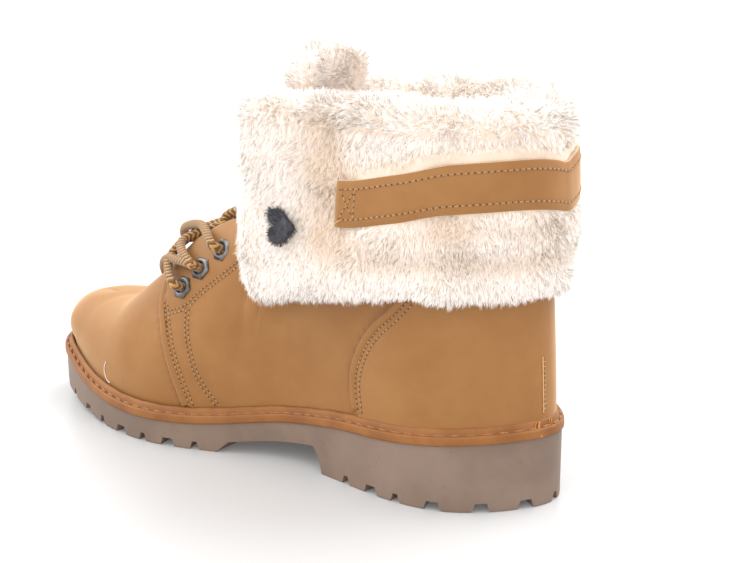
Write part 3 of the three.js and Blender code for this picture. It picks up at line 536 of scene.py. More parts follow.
def makeLaceMaterial():
    # Round braid: two tones cross in zigzag rows. u runs round the cord and v along it, in widths.
    material, tree, shader, point = newMaterial("lace_cord")
    split = tree.nodes.new("ShaderNodeSeparateXYZ")
    tree.links.new(tree.nodes.new("ShaderNodeTexCoord").outputs["UV"], split.inputs[0])
    zig = mathNode(tree, "PINGPONG", mathNode(tree, "MULTIPLY", split.outputs["X"], 6.0), 1.0)
    row = mathNode(tree, "ADD", mathNode(tree, "MULTIPLY", split.outputs["Y"], 1.7),
                   mathNode(tree, "MULTIPLY", zig, 0.55))
    step = mathNode(tree, "FRACT", row)
    half = mathNode(tree, "FRACT", mathNode(tree, "MULTIPLY", row, 2.0))
    grooveShade = mathNode(tree, "MULTIPLY", mathNode(tree, "ABSOLUTE", mathNode(tree, "SUBTRACT", half, 0.5)),
                      2.0)
    gold = mathNode(tree, "LESS_THAN", step, 0.5)
    fine = placeMottle(tree, point, 300.0, 2200.0)[1]
    base = mixColor(tree, gold, srgb(112, 70, 30), srgb(206, 156, 76))
    base = mixColor(tree, ramp(tree, fine, 0.35, 0.7), mixColor(tree, 0.35, base, srgb(92, 58, 24)), base)
    # Painted shade: dark brown in the grooves between the braid's rows, where the bump is lowest
    color = mixColor(tree, ramp(tree, grooveShade, 0.7, 1.0), base, srgb(84, 52, 22))
    tree.links.new(color, shader.inputs["Base Color"])
    shader.inputs["Roughness"].default_value = 0.8
    shader.inputs["Sheen Weight"].default_value = 0.3
    height = mathNode(tree, "ADD", mathNode(tree, "SUBTRACT", 1.0, grooveShade),
                      mathNode(tree, "MULTIPLY", fine, 0.3))
    bump(tree, shader, height, 0.0005, 0.8)
    return material


def makeFeltMaterial():
    material, tree, shader, point = newMaterial("patch_felt")
    patches, fine = placeMottle(tree, point, 180.0, 1400.0)
    tree.links.new(mixColor(tree, ramp(tree, patches, 0.3, 0.7), srgb(44, 45, 50), srgb(70, 69, 76)),
                   shader.inputs["Base Color"])
    shader.inputs["Roughness"].default_value = 0.8
    shader.inputs["Sheen Weight"].default_value = 0.15
    bump(tree, shader, fine, 0.0004, 0.7)
    return material


nubuck = leatherMaterial("nubuck", leather["tan"], leather["dark"], leather["pale"], "shade")
strapLeather = leatherMaterial("strap_leather", srgb(148, 99, 48), srgb(132, 84, 34), srgb(160, 114, 62),
                               "shade")
rubber, weltStrip = makeSoleMaterial(), makeWeltMaterial()
fur = makeFurMaterial("fur", srgb(249, 243, 238), srgb(228, 209, 190))
footbed = makeFurMaterial("footbed", srgb(245, 236, 220), srgb(226, 208, 182))
thread = makeThreadMaterial("thread", srgb(184, 140, 86), srgb(138, 94, 48))
# Dark beads that paint the shade inside stitch holes and slits
holeShade = makeThreadMaterial("hole_shade", srgb(92, 54, 22), srgb(66, 38, 16))
eyeletMetal, laceCord, felt = makeMetalMaterial(), makeLaceMaterial(), makeFeltMaterial()
print("materials ready")

# Lace: four slack crossings that run down through the eyelets, and its loose end

eyelets = {  # seat on the leather and the way the eyelet faces, in millimetres
    "medial_1": ((179.55, 32.27, 73.26), (0.14, 0.88, 0.45)), "medial_2": ((171.29, 28.52, 82.68),
            (0.11, 0.88, 0.47)),
    "medial_3": ((161.07, 24.84, 92.1), (0.21, 0.86, 0.47)), "lateral_1": ((178.38, -31.56, 74.46),
            (0.19, -0.86, 0.47)),
    "lateral_2": ((171.22, -28.42, 83.32), (0.25, -0.84, 0.49)),
    "lateral_3": ((161.81, -25.72, 93.09), (0.38, -0.79, 0.49)),
}
laceTable = [  # from, to, then points: share of the way across, ahead of the straight line and above it
    ("medial_1", "lateral_2", [(0.13, 16, 9), (0.38, 16, 16), (0.76, 10, 16)]),
    ("lateral_1", "medial_2", [(0.19, 29, 1.5), (0.43, 46, -12.5), (0.68, 39, -7), (0.91, 25, 1)]),
    ("medial_2", "lateral_3", [(0.17, 21, 7), (0.43, 14, 10), (0.69, 10, 14)]),
    ("lateral_2", "medial_3", [(0.2, 26, 4), (0.44, 42, -1), (0.63, 37, 5), (0.82, 19, 9)]),
]
laceEndSteps = [(4, -16, 3.5), (10.5, -13.5, 6.5), (11, -16, 11.5), (4, -18, 15.5), (-5, -19, 18.5),
                (-14, -19, 24)]
laceSizes = {"thickness": 4.4, "sides": 14, "step": 0.7}


def seatOf(name):
    seat, axis = eyelets[name]
    return np.array(seat, float), unit(np.array(axis, float))


def smoothLine(points, step):
    points = np.array(points, float)
    padded = np.concatenate([[2 * points[0] - points[1]], points, [2 * points[-1] - points[-2]]])
    found = []
    for a, b, c, d in zip(padded[:-3], padded[1:-2], padded[2:-1], padded[3:]):
        before, here, after = (math.sqrt(np.linalg.norm(q - p)) for p, q in ((a, b), (b, c), (c, d)))
        leave = ((b - a) / before - (c - a) / (before + here) + (c - b) / here) * here
        arrive = ((c - b) / here - (d - b) / (here + after) + (d - c) / after) * here
        count = max(2, int(np.linalg.norm(c - b) / step))
        t = (np.arange(count) / count)[:, None]
        square, cube = 3 * (c - b) - 2 * leave - arrive, leave + arrive - 2 * (c - b)
        found.append(b + leave * t + square * t ** 2 + cube * t ** 3)
    return np.concatenate(found + [points[-1:]])


def lengthsAlong(points):
    return np.concatenate([[0], np.cumsum(np.linalg.norm(np.diff(points, axis=0), axis=1))])


def resampled(points, count):
    lengths = lengthsAlong(points)
    at = np.linspace(0, lengths[-1], count)
    return np.stack([np.interp(at, lengths, points[:, k]) for k in range(points.shape[1])], 1)


def tubeMesh(points, radii, sides, width):
    # A round cord with closed, rounded ends; its UVs run round it and along it in widths
    tangents = unit(np.gradient(points, axis=0))
    across = np.zeros_like(points)
    start = np.cross(tangents[0], (0, 0, 1.0))
    across[0] = unit(start if np.linalg.norm(start) > 0.1 else np.cross(tangents[0], (0, 1.0, 0)))
    for k in range(1, len(points)):
        across[k] = unit(across[k - 1] - tangents[k] * np.dot(across[k - 1], tangents[k]))
    other = np.cross(tangents, across)
    rows = len(points) - 1

    def at(u, v):
        k, turn = np.rint(v * rows).astype(int), 2 * math.pi * u
        out = across[k] * np.cos(turn)[:, None] + other[k] * np.sin(turn)[:, None]
        return points[k] + out * radii[k][:, None]

    bm = gridMesh(sides, rows, at)
    layer, lengths = bm.loops.layers.uv.active, lengthsAlong(points) / width
    for face in bm.faces:
        for loop in face.loops:
            loop[layer].uv.y = lengths[round(loop[layer].uv.y * rows)]
    return bm


def cordMesh(points, radius, sides, width):
    lengths = lengthsAlong(points)
    ends = np.array([0, 0.03, 0.15, 0.4, 0.75]) * radius
    at = np.concatenate([ends, np.linspace(radius * 1.2, lengths[-1] - radius * 1.2, len(points)),
                         lengths[-1] - ends[::-1]])
    line = np.stack([np.interp(at, lengths, points[:, k]) for k in range(3)], 1)
    near = np.clip(np.minimum(at, lengths[-1] - at) / radius, 0, 1)
    return tubeMesh(line, radius * np.sqrt(1 - (1 - near) ** 2), sides, width)


def makeLace():
    whole = bmesh.new()
    for start, end, between in laceTable:
        (seat, axis), (last, lastAxis) = seatOf(start), seatOf(end)
        points = [seat + axis * rise for rise in (-2.2, 2.2, 5.72)]
        points += [seat + (last - seat) * across + np.array([ahead, 0, above]) for across, ahead,
                   above in between]
        points += [last + lastAxis * rise for rise in (5.72, 2.2, -2.2)]
        strand = cordMesh(smoothLine(points, laceSizes["step"]), laceSizes["thickness"] / 2,
                          laceSizes["sides"], laceSizes["thickness"])
        pour(strand, whole)
    place(objectFrom(finished(whole), "lace_crossings", laceCord), "lace_cord", "lace")


def makeLaceEnd():
    seat = seatOf("medial_3")[0]
    points = smoothLine([seat + np.array([ahead, left, above]) for ahead, left, above in laceEndSteps],
                        laceSizes["step"])
    cord = cordMesh(points, laceSizes["thickness"] / 2, laceSizes["sides"], laceSizes["thickness"])
    made = place(objectFrom(finished(cord), "lace_loose_end", laceCord), "lace_cord", "lace_end")
    path = [tuple(point) for point in inFrame(resampled(points, 24))]


makeLace()
makeLaceEnd()
print("lace ready")

# Upper: one skin from the welt to the collar and the throat's edge, with its raised panels

quarterEdge = [(0.592, 0), (0.605, 0.122), (0.62, 0.187), (0.638, 0.262), (0.6625, 0.356), (0.677, 0.412),
               (0.683, 0.475)]
rearEdge = [(0.278, 0), (0.281, 0.207), (0.288, 0.264), (0.286, 0.332), (0.265, 0.416), (0.236, 0.478),
            (0.205, 0.525), (0.14, 0.67), (0.07, 0.79)]
throatTable = [(0, 0.14), (0.03, 0.3), (0.08, 0.42), (0.16, 0.46), (0.34, 0.47), (0.66, 0.52), (0.85, 0.71),
               (1, 0.95), (1.2, 1)]
throatFloor = [(-0.07, 0.22), (0.74, 0.375), (1.05, 0.656), (1.5, 0.875)]
throatLength = 73
collarFront = float(top["along"](0.5)) * sole["length"]
throatFront = collarFront + throatLength

# Lines of stitches in the side view: x and z in millimetres from the heel and the ground
vampSeam = [(174, 66), (173.5, 62), (172.3, 54.3), (169.6, 45.3), (165.5, 34.4), (159.8, 25.8), (154, 19)]
eyestaySeam = [(189, 59.6), (181.4, 62.2), (174.5, 65), (169.2, 71.2), (161.2, 77.8), (152.8, 84.3),
               (143, 93)]

# Soft folds, listed: from (x, z) to (x, z), width, height (negative is a trough) and side (0 is both)
folds = [
    (186, 60, 180, 52, 3.5, -0.7, 0), (176, 60, 190, 58, 2.5, 0.5, 0), (171, 62, 186, 56, 2.2, -0.5, 1),
    (150, 62, 132, 74, 6, 0.6, 0), (138, 58, 120, 66, 7, -0.7, 0), (120, 84, 95, 80, 9, -0.8, 1),
    (112, 70, 88, 66, 8, 0.6, 1), (205, 52, 222, 46, 7, -0.5, -1), (58, 66, 30, 74, 8, 0.7, 0),
    (52, 52, 24, 56, 7, -0.7, 0), (236, 44, 226, 50, 8, -0.4, 0), (100, 46, 84, 52, 8, 0.5, -1),
]


def lineAt(edge):
    return np.array([(along * sole["length"], up * upperSizes["collar"]) for along, up in edge])


def behindLine(line, x, z):
    # How far a place lies behind a line that runs upward in the side view.
    at = np.interp(z, line[:, 1], line[:, 0])
    slope = np.interp(z + 1, line[:, 1], line[:, 0]) - np.interp(z - 1, line[:, 1], line[:, 0])
    return (at - x) / np.sqrt(1 + (slope / 2) ** 2)


def awayFrom(points, x, z):
    # Distance in the side view from a line of points.
    best = np.full(np.shape(x), 1e9)
    for (x0, z0), (x1, z1) in zip(points[:-1], points[1:]):
        dx, dz = x1 - x0, z1 - z0
        t = np.clip(((x - x0) * dx + (z - z0) * dz) / (dx * dx + dz * dz), 0, 1)
        best = np.minimum(best, np.hypot(x - x0 - t * dx, z - z0 - t * dz))
    return best


def relief(angle, rise):
    # How far the leather stands out from the form, and the painted shade it gets: a shadow line in front of
    # each panel's folded edge and darkening along the seam grooves.
    place = formPoint(angle, rise)
    x, z, side = place[..., 0], place[..., 2], np.sign(angle)
    front, rear = behindLine(lineAt(quarterEdge), x, z), behindLine(lineAt(rearEdge), x, z)
    out = upperSizes["step"] * smooth(front, 0.2, 2.4) + upperSizes["rearStep"] * smooth(rear, 0.2, 2.4)
    apart = smooth(np.abs(place[..., 1]), 3, 20)
    for x0, z0, x1, z1, width, height, only in folds:
        amount = height * np.exp(-(awayFrom([(x0, z0), (x1, z1)], x, z) / width) ** 2) * (0.15 + 0.85 * apart)
        out = out + np.where(only == 0, amount, np.where(side == only, amount * apart, 0))
    # Painted shadow just in front of the quarter's and the rear panel's folded edges
    shade = 0.6 * np.exp(-((front + 0.9) / 1.1) ** 2) + 0.6 * np.exp(-((rear + 0.9) / 1.1) ** 2)
    for line in (vampSeam, eyestaySeam):
        away = awayFrom(line, x, z)
        out = out - 0.3 * np.exp(-(away / 2.6) ** 2)
        # Painted shade darkening the leather along each seam's groove
        shade = shade + 0.16 * np.exp(-(away / 2.2) ** 2)
    wave = 0.35 * np.sin(x / 17 + 1.3 * side * apart) * np.sin(z / 13 + x / 41)
    return out + wave * smooth(z, 20, 60) * 0.5, np.clip(shade, 0, 1)


def halfThroat(x):
    along = (throatFront - x) / throatLength
    return np.interp(along, [row[0] for row in throatTable],
                     [row[1] for row in throatTable]) * upperSizes["throatTop"] / 2


def cutRise(angle):
    # How far up each column the throat's edge lies.
    rises = np.linspace(0.3, 1, 421)
    grid, up = np.broadcast_arrays(angle[:, None], rises[None, :])
    place = skinPoint(grid, up, np.ones(grid.shape))
    x, y, z = place[..., 0], place[..., 1], place[..., 2]
    floor = np.interp((throatFront - x) / throatLength, [row[0] for row in throatFloor],
                      [row[1] for row in throatFloor]) * upperSizes["collar"]
    inside = (np.abs(y) < halfThroat(x)) & (x < throatFront) & (z > floor) & (shareOf(grid) > 0.44)
    return np.where(inside.any(1), rises[np.argmax(inside, 1)], 1.0)


def upperGrid(offset, topZ=None, low=0.0, coarse=1):
    columns, rows = upperSizes["columns"] // coarse, upperSizes["rows"] // coarse
    angles = np.linspace(-math.pi, math.pi, columns + 1)
    cuts = cutRise(np.where(np.abs(angles) < 1e-6, 1e-6, angles))
    if topZ is not None:
        foot, crest = formPoint(angles, 0.0)[:, 2], formPoint(angles, 1.0)[:, 2]
        cuts = np.minimum(cuts, np.clip((topZ - foot) / (crest - foot), 0.2, 1))
    shade = []

    def at(u, v):
        angle = -math.pi + 2 * math.pi * u
        turn = np.where(np.abs(angle) < 1e-6, 1e-6, angle)
        step = np.clip((v * rows - 1) / (rows - 1), 0, 1)
        rise = low + (np.interp(angle, angles, cuts) - low) * (0.4 * step + 0.6 * np.sin(step * math.pi / 2))
        out, dark = relief(turn, rise)
        shade.append(dark)
        points = skinPoint(turn, rise, out + offset)
        points[..., 2] -= np.where((v * rows < 0.5) & (low == 0), weltHeight - gap, 0)
        return points

    bm = gridMesh(columns, rows, at)
    # Painted shade for each vertex of the leather: darker in front of the folds and along the seams
    layer = bm.verts.layers.float.new("shade")
    for vert, dark in zip(bm.verts, shade[0]):
        vert[layer] = dark
    return bm


def makeUpper():
    bm = upperGrid(0)
    finished(bm, 0.00004)
    made = objectFrom(bm, "upper_leather", nubuck)
    shell = made.modifiers.new("wall", "SOLIDIFY")
    shell.thickness, shell.offset = upperSizes["wall"] * mm, -1
    return place(applyModifiers(made), "nubuck", "upper")


def makeLining():
    # The fleece inside the foot and shaft, up to the inner edge of the cuff
    bm = upperGrid(-upperSizes["wall"] - 0.45, 139, 0.16, 2)
    finished(bm, 0.00004)
    made = objectFrom(bm, "inner_lining", fur)
    shell = made.modifiers.new("fleece", "SOLIDIFY")
    shell.thickness, shell.offset = 0.0012, -1
    place(applyModifiers(made), "fur")


upperLeather = makeUpper()
makeLining()
print("upper ready:", len(upperLeather.data.polygons), "faces")


def onSide(side, xs, zs):
    # Angles and rises of the form at places given in the side view.
    shares, rises = np.linspace(0.002, 0.998, 240), np.linspace(0, 1, 150)
    turn, up = np.meshgrid(side * angleOf(shares), rises, indexing="ij")
    points = formPoint(turn, up)
    angle, rise = [], []
    for x, z in zip(xs, zs):
        k = np.argmin((points[..., 0] - x) ** 2 + (points[..., 2] - z) ** 2)
        angle.append(turn.flat[k])
        rise.append(up.flat[k])
    angle, rise = np.array(angle), np.array(rise)
    for _ in range(5):
        here = formPoint(angle, rise)
        da = (formPoint(angle + 0.001, rise) - here) / 0.001
        dr = (formPoint(angle, np.minimum(rise + 0.001, 1)) - here) / 0.001
        ex, ez = xs - here[:, 0], zs - here[:, 2]
        det = da[:, 0] * dr[:, 2] - da[:, 2] * dr[:, 0]
        det = np.where(np.abs(det) < 1e-6, 1e-6, det)
        angle = angle + np.clip((ex * dr[:, 2] - ez * dr[:, 0]) / det, -0.05, 0.05)
        rise = np.clip(rise + np.clip((da[:, 0] * ez - da[:, 2] * ex) / det, -0.05, 0.05), 0.001, 0.999)
    return angle, rise


def rounded(points, times=2):
    # The same line with its corners cut.
    points = np.array(points, float)
    for _ in range(times):
        first, last = points[:-1] * 0.75 + points[1:] * 0.25, points[:-1] * 0.25 + points[1:] * 0.75
        points = np.concatenate([points[:1], np.stack([first, last], 1).reshape(-1, points.shape[1]),
                                 points[-1:]])
    return points


def shifted(points, back):
    # A line in the side view moved back to its heel side.
    along = unit(np.gradient(points, axis=0))
    return points + np.stack([-along[:, 1], along[:, 0]], 1) * back


def trackOn(side, points, lift):
    # Places and normals on the leather along a line in the side view.
    angle, rise = onSide(side, points[:, 0], points[:, 1])
    out, _ = relief(angle, rise)
    return skinPoint(angle, rise, out + lift), formNormal(angle, rise)


def foldStrip(name, edge, side, base, low, high):
    # The folded edge of a raised panel: a soft roll that follows the panel's line.
    line = lineAt(edge)
    line = line[(line[:, 1] >= 0)]
    dense = resampled(rounded(line, 2), 110)
    dense = dense[(dense[:, 1] > low) & (dense[:, 1] < high)]
    section = [(-0.2, -0.6), (-0.5, 0.2), (-0.35, 0.95), (0.15, 1.45), (0.8, 1.62), (1.5, 1.45),
               (2.2, 1.15), (2.7, 0.95), (3.0, 0.6), (2.0, -0.4), (0.8, -0.6)]
    rings = []
    for back, out in section:
        moved = shifted(dense, back)
        angle, rise = onSide(side, moved[:, 0], moved[:, 1])
        rings.append(skinPoint(angle, rise, np.full(len(angle), base + out)))
    rings = np.stack(rings + rings[:1], 1)
    count, around = rings.shape[0] - 1, rings.shape[1] - 1

    def at(u, v):
        return rings[np.rint(u * count).astype(int), np.rint(v * around).astype(int)]

    bm = gridMesh(count, around, at)
    finished(bm, fill=True)
    return place(objectFrom(bm, name, nubuck), "nubuck")


for side, label in ((1, "medial"), (-1, "lateral")):
    foldStrip(f"quarter_fold_{label}", quarterEdge, side, 0, 19, 76)
    foldStrip(f"rear_fold_{label}", rearEdge, side, upperSizes["step"], 34, 118)


# Stitches: one small bead for each, joined into rows


def beadShape(length, width, height, sides=8, rings=5):
    bm = bmesh.new()
    bmesh.ops.create_uvsphere(bm, u_segments=sides, v_segments=rings, radius=0.5)
    for vert in bm.verts:
        vert.co = Vector((vert.co.z * length, vert.co.y * width, vert.co.x * height)) * mm
    bmesh.ops.recalc_face_normals(bm, faces=bm.faces[:])
    points = np.array([v.co for v in bm.verts])
    faces = [[v.index for v in f.verts] for f in bm.faces]
    bm.free()
    return points, faces


def joinedCopies(name, shape, spots, alongs, normals, material):
    # Copies of one shape: its x runs along and its z stands out.
    points, faces = shape
    alongs = unit(alongs - normals * np.sum(alongs * normals, -1, keepdims=True))
    across = np.cross(normals, alongs)
    turn = np.stack([alongs, across, normals], -1)
    all_ = np.einsum("nij,kj->nki", turn, points) + inFrame(spots)[:, None, :]
    mesh = bpy.data.meshes.new(name)
    size = len(points)
    mesh.from_pydata(all_.reshape(-1, 3).tolist(), [],
                     [[i + n * size for i in f] for n in range(len(spots)) for f in faces])
    mesh.shade_smooth()
    made = bpy.data.objects.new(name, mesh)
    scene.collection.objects.link(made)
    mesh.materials.append(material)
    return made


def spacedAlong(points, normals, pitch, start=0.0):
    lengths = np.concatenate([[0], np.cumsum(np.linalg.norm(np.diff(points, axis=0), axis=1))])
    at = np.arange(start + pitch / 2, lengths[-1], pitch)
    pick = lambda values: np.stack([np.interp(at, lengths, values[:, k]) for k in range(3)], 1)
    return pick(points), pick(np.gradient(points, axis=0)), unit(pick(normals))


seams = {"pitch": 2.3, "length": 1.75, "width": 0.8, "height": 0.6, "hole": 0.85}
seamRows = [  # line, distance behind it, highest z, whether it is an edge in shares
    (quarterEdge, 3.3, 66, True), (quarterEdge, 5.2, 64, True),
    (rearEdge, 3.3, 112, True), (rearEdge, 5.6, 112, True),
    (vampSeam, -0.9, 200, False), (vampSeam, 0.9, 200, False),
    (eyestaySeam, -0.9, 200, False), (eyestaySeam, 0.9, 200, False),
]


def makeSeams():
    spots, alongs, normals, gaps = [], [], [], []
    for side in (1, -1):
        for k, (line, back, high, shares) in enumerate(seamRows):
            first = seams["pitch"] / 2 * (k % 2)
            base = lineAt(line) if shares else np.array(line, float)
            dense = resampled(rounded(base, 2), 160)
            low = featherLine(np.clip(dense[:, 0] / sole["length"], 0, 1)) + 0.5
            dense = shifted(dense, back)
            dense = dense[(dense[:, 1] > low) & (dense[:, 1] < high)]
            track, normal = trackOn(side, dense, 0.05)
            spot, along, out = spacedAlong(track, normal, seams["pitch"], first)
            spots.append(spot)
            alongs.append(along)
            normals.append(out)
            gaps.append(spacedAlong(track, normal, seams["pitch"], seams["pitch"] / 2 - first))
    rows = joinedCopies("seam_stitches", beadShape(seams["length"], seams["width"], seams["height"]),
                        np.concatenate(spots), np.concatenate(alongs), np.concatenate(normals), thread)
    place(rows, "nubuck")
    # Painted shade: a dark bead in each stitch hole between the stitches
    dark = joinedCopies("seam_hole_shade", beadShape(seams["hole"] * 1.15, seams["hole"], 0.56, 6, 4),
                        np.concatenate([g[0] for g in gaps]), np.concatenate([g[1] for g in gaps]),
                        np.concatenate([g[2] for g in gaps]), holeShade)
    place(dark, "nubuck")


makeSeams()
print("seams ready")

# Welt: a flat band with a rounded bead, and the long stitches between them

weltStations = 288
weltSection = [
    (0, 0.3), (-0.02, 1.0), (0, 3.2), (0.03, 3.7), (0.09, 4.1), (0.18, 4.24), (0.28, 4.1), (0.33, 3.85),
    (0.37, 3.9),
    (0.41, 4.7), (0.47, 5.6), (0.55, 6.4), (0.66, 6.9), (0.78, 7.0), (0.88, 6.7), (0.95, 6.0), (1, 5.2),
    (1, 4.2), (1, 0.3),
]


def weltPoint(angle, inset, rise):
    flat = insetOutline(angle, inset * weltSizes["width"])
    return np.concatenate([flat, (weltLine(shareOf(wrapped(angle))) + rise)[..., None]], -1)


def makeWelt():
    section = np.array(weltSection + weltSection[:1], float)

    def at(u, v):
        angle = -math.pi + 2 * math.pi * u
        k = np.rint(v * (len(section) - 1)).astype(int)
        pull = 0.12 * np.sin(angle * 57) * smooth(section[k, 1], 4.5, 6)
        return weltPoint(angle, section[k, 0], section[k, 1] + pull)

    made = objectFrom(finished(gridMesh(weltStations, len(section) - 1, at)), "welt_strip", weltStrip)
    place(made, "welt_strip", "welt")

    # One long stitch after another in the groove; where each sinks in at its ends, a dark bead paints the
    # shade of the slit.
    angles = np.linspace(-math.pi, math.pi, 4000)
    ring = weltPoint(angles, np.full(len(angles), 0.34), np.full(len(angles), 4.25))
    lengths = lengthsAlong(ring)
    count = int(lengths[-1] / weltSizes["stitchPitch"])
    at = (np.arange(count) + 0.5) * lengths[-1] / count
    turn = np.interp(at, lengths, angles)
    spots = weltPoint(turn, np.full(count, 0.345), np.full(count, 4.2))
    alongs = weltPoint(turn + 0.01, np.full(count, 0.345), np.full(count, 4.2)) - spots
    outward = np.concatenate([outwardAt(turn), np.ones((count, 1))], -1)
    stitches = joinedCopies("welt_stitches", beadShape(weltSizes["stitchLength"], 1.25, 1.3, 8, 7), spots,
                            alongs, unit(outward), weltThread)
    place(stitches, "welt_strip")
    # Painted shade in the slits where each welt stitch sinks in
    slits = (np.arange(count) + 1.0) * lengths[-1] / count
    turn = np.interp(slits, lengths, angles)
    spots = weltPoint(turn, np.full(count, 0.345), np.full(count, 3.95))
    across = np.concatenate([outwardAt(turn), np.full((count, 1), 0.2)], -1)
    place(joinedCopies("welt_slit_shade", beadShape(1.9, 0.8, 0.5, 6, 5), spots, across,
                       np.tile([0, 0, 1.0], (count, 1)), holeShade), "welt_strip")


weltThread = makeThreadMaterial("welt_thread", srgb(164, 110, 54), srgb(130, 82, 38))
makeWelt()
print("welt ready")

# Outsole: the moulded rubber unit, cut by its arch, its edge notches and the tread's grooves

archTable = [(-0.055, -1), (-0.018, 0.167), (0.018, 0.667), (0.073, 1), (0.364, 0.81), (0.891, 0.46),
             (1, 0), (1.04, -1)]
wide, narrow = sole["wideNotch"], sole["narrowNotch"]
notchTable = [  # share of the length, width
    (0, narrow), (0.021, wide), (0.068, wide), (0.132, wide), (0.193, narrow), (0.24, wide), (0.293, narrow),
    (0.578, narrow), (0.626, wide), (0.677, narrow), (0.731, wide), (0.788, narrow), (0.842, wide),
    (0.906, narrow),
    (0.957, wide),
]


def prism(bm, low, high):
    # A closed block between two outlines of the same count
    first = [bm.verts.new(Vector(inFrame(point))) for point in low]
    last = [bm.verts.new(Vector(inFrame(point))) for point in high]
    bm.faces.new(first)
    bm.faces.new(last[::-1])
    for k in range(len(first)):
        j = (k + 1) % len(first)
        bm.faces.new([first[j], first[k], last[k], last[j]])


def cutterObject(bm, name):
    bmesh.ops.recalc_face_normals(bm, faces=bm.faces[:])
    made = objectFrom(bm, name, rubber, False)
    return made


def makeOutsole():
    around = sole["around"]
    rows = [("middle", 0), (1.6, 0), (1.05, 0.12), (0.86, 0.45), (0.8, 1), (0.8, 3), (0.8, 6), (0.8, "rim"),
            ("middle", "rim")]

    def at(u, v):
        angle = -math.pi + 2 * math.pi * u
        share = shareOf(wrapped(angle))
        points = np.zeros((len(u), 3))
        for k, (inset, up) in enumerate(rows):
            here = np.rint(v * (len(rows) - 1)) == k
            turn, part = angle[here], share[here]
            height = weltLine(part) if up == "rim" else np.minimum(groundLine(part) + up,
                                                                   weltLine(part) - 0.5)
            if inset == "middle":
                flat = (outlineAt(turn) + outlineAt(-turn)) / 2
            else:
                flat = insetOutline(turn, np.full(turn.shape, inset))
            points[here] = np.concatenate([flat, height[:, None]], -1)
        return points

    body = objectFrom(finished(gridMesh(around, len(rows) - 1, at)), "outsole_rubber", rubber)
    cuts = bmesh.new()
    side = [(sole["breastAt"] + (sole["forefootAt"] - sole["breastAt"]) * along, up * sole["archHeight"])
            for along, up in archTable]
    prism(cuts, [(x, -80, z) for x, z in side], [(x, 80, z) for x, z in side])
    for share, width in notchTable:
        for turn in ({float(angleOf(share)), -float(angleOf(share))} if share > 0 else {0.0}):
            angle = np.array([turn])
            edge, out = outlineAt(angle)[0], outwardAt(angle)[0]
            along, ground = np.array([-out[1], out[0]]), float(groundLine(shareOf(angle))[0])
            half, mouth = width / 2, width / 2 + sole["lugDepth"] * sole["notchTaper"]
            low = [(-mouth, -sole["toeSpring"]), (mouth, -sole["toeSpring"]), (mouth, 0),
                   (half, sole["lugDepth"]), (-half, sole["lugDepth"]), (-mouth, 0)]
            rings = []
            for reach in (3, -sole["lugReach"]):
                rings.append([(*(edge + out * reach + along * s), ground + z) for s, z in low])
            prism(cuts, *rings)
    cutter = cutterObject(cuts, "outsole_cuts")
    slots = bmesh.new()
    inner, pitch = sole["lugReach"] + 0.8, sole["treadBar"] + sole["treadGap"]

    def slot(x0, x1):
        ring = []
        for x, sign in ((x0, 1), (x1, 1), (x1, -1), (x0, -1)):
            turn = sign * angleOf(np.array([x / sole["length"]]))
            ring.append((x, float(insetOutline(turn, np.array([inner]))[0][1])))
        prism(slots, [(x, y, -12) for x, y in ring],
              [(x, y, float(groundLine(x / sole["length"])) + 4) for x, y in ring])

    for low, high in ((heelRestAt - sole["treadBar"] / 2 - pitch - sole["treadGap"],
                       sole["breastAt"] - sole["treadGap"]),
                      (sole["forefootAt"] + sole["treadGap"],
                       sole["length"] - sole["lugReach"] - sole["treadGap"])):
        x = low
        while x + sole["treadGap"] <= high:
            slot(x, x + sole["treadGap"])
            x += pitch
    second = cutterObject(slots, "outsole_slots")
    for other in (cutter, second):
        cut = body.modifiers.new("cut", "BOOLEAN")
        cut.operation, cut.solver, cut.object = "DIFFERENCE", "MANIFOLD", other
    applyModifiers(body)
    for other in (cutter, second):
        bpy.data.objects.remove(other)
    mesh = bmesh.new()
    mesh.from_mesh(body.data)
    bmesh.ops.triangulate(mesh, faces=[f for f in mesh.faces if len(f.verts) > 4])
    mesh.to_mesh(body.data)
    mesh.free()
    body.data.shade_smooth()
    body.data.set_sharp_from_angle(angle=math.radians(32))
    place(body, "sole_rubber", "outsole")


makeOutsole()
print("outsole ready")

# Fur cuff: a soft body folded over the collar, with the pile rooted on it

cuffSizes = {
    "thickness": 17, "hem": 84, "crown": 170, "end": 0.455, "strapEnd": 0.303, "strapBed": 11,
    "strapMiddle": 127,
    "strapLift": 11, "strapHalf": 11.5, "pile": 0.8, "hairs": 192000,
    "pieces": 4, "radius": 43, "endRadius": 42,
    "length": 4.6, "width": 0.22, "clump": 6,
}
cuffTable = [  # at, hem, crown, puff, roll
    (0, 0.03, -0.012, 0.86, 0.6), (0.1, 0.035, -0.006, 0.88, 0.72), (0.2, 0.03, 0, 0.96, 0.9),
    (0.3, 0.005, 0, 1, 0.98),
    (0.36, -0.015, -0.008, 0.86, 0.98), (0.4, -0.035, -0.012, 0.9, 1), (0.43, -0.045, -0.018, 1.04, 1.08),
    (0.443, -0.045, -0.02, 1.02, 1.06), (0.455, -0.02, -0.035, 0.7, 0.7),
]
strapTable = [(0, 0.72), (0.05, 1), (0.15, 0.88), (0.22, 0.42), (0.3, 0), (0.5, 0)]
cuff = columnsOf(cuffTable, ["hem", "crown", "puff", "roll"])
strapLine = columnsOf(strapTable, ["lift"])


def strapZ(share):
    return cuffSizes["strapMiddle"] + cuffSizes["strapLift"] * strapLine["lift"](share)


def shaftPoint(angle, offset, z):
    share = shareOf(angle)
    foot = featherLine(share)
    rise = (np.minimum(z, upperSizes["collar"]) - foot) / (upperSizes["collar"] - foot)
    normal = formNormal(angle, rise)
    normal[..., 2] = 0
    point = formPoint(angle, rise) + unit(normal) * np.asarray(offset)[..., None]
    point[..., 2] = z
    return point


def leaned(angle, z):
    near = smooth(shareOf(angle), 0.38, cuffSizes["end"])
    return angle * (1 + 0.03 * near * (1 - (z - cuffSizes["hem"]) / (cuffSizes["crown"] - cuffSizes["hem"])))


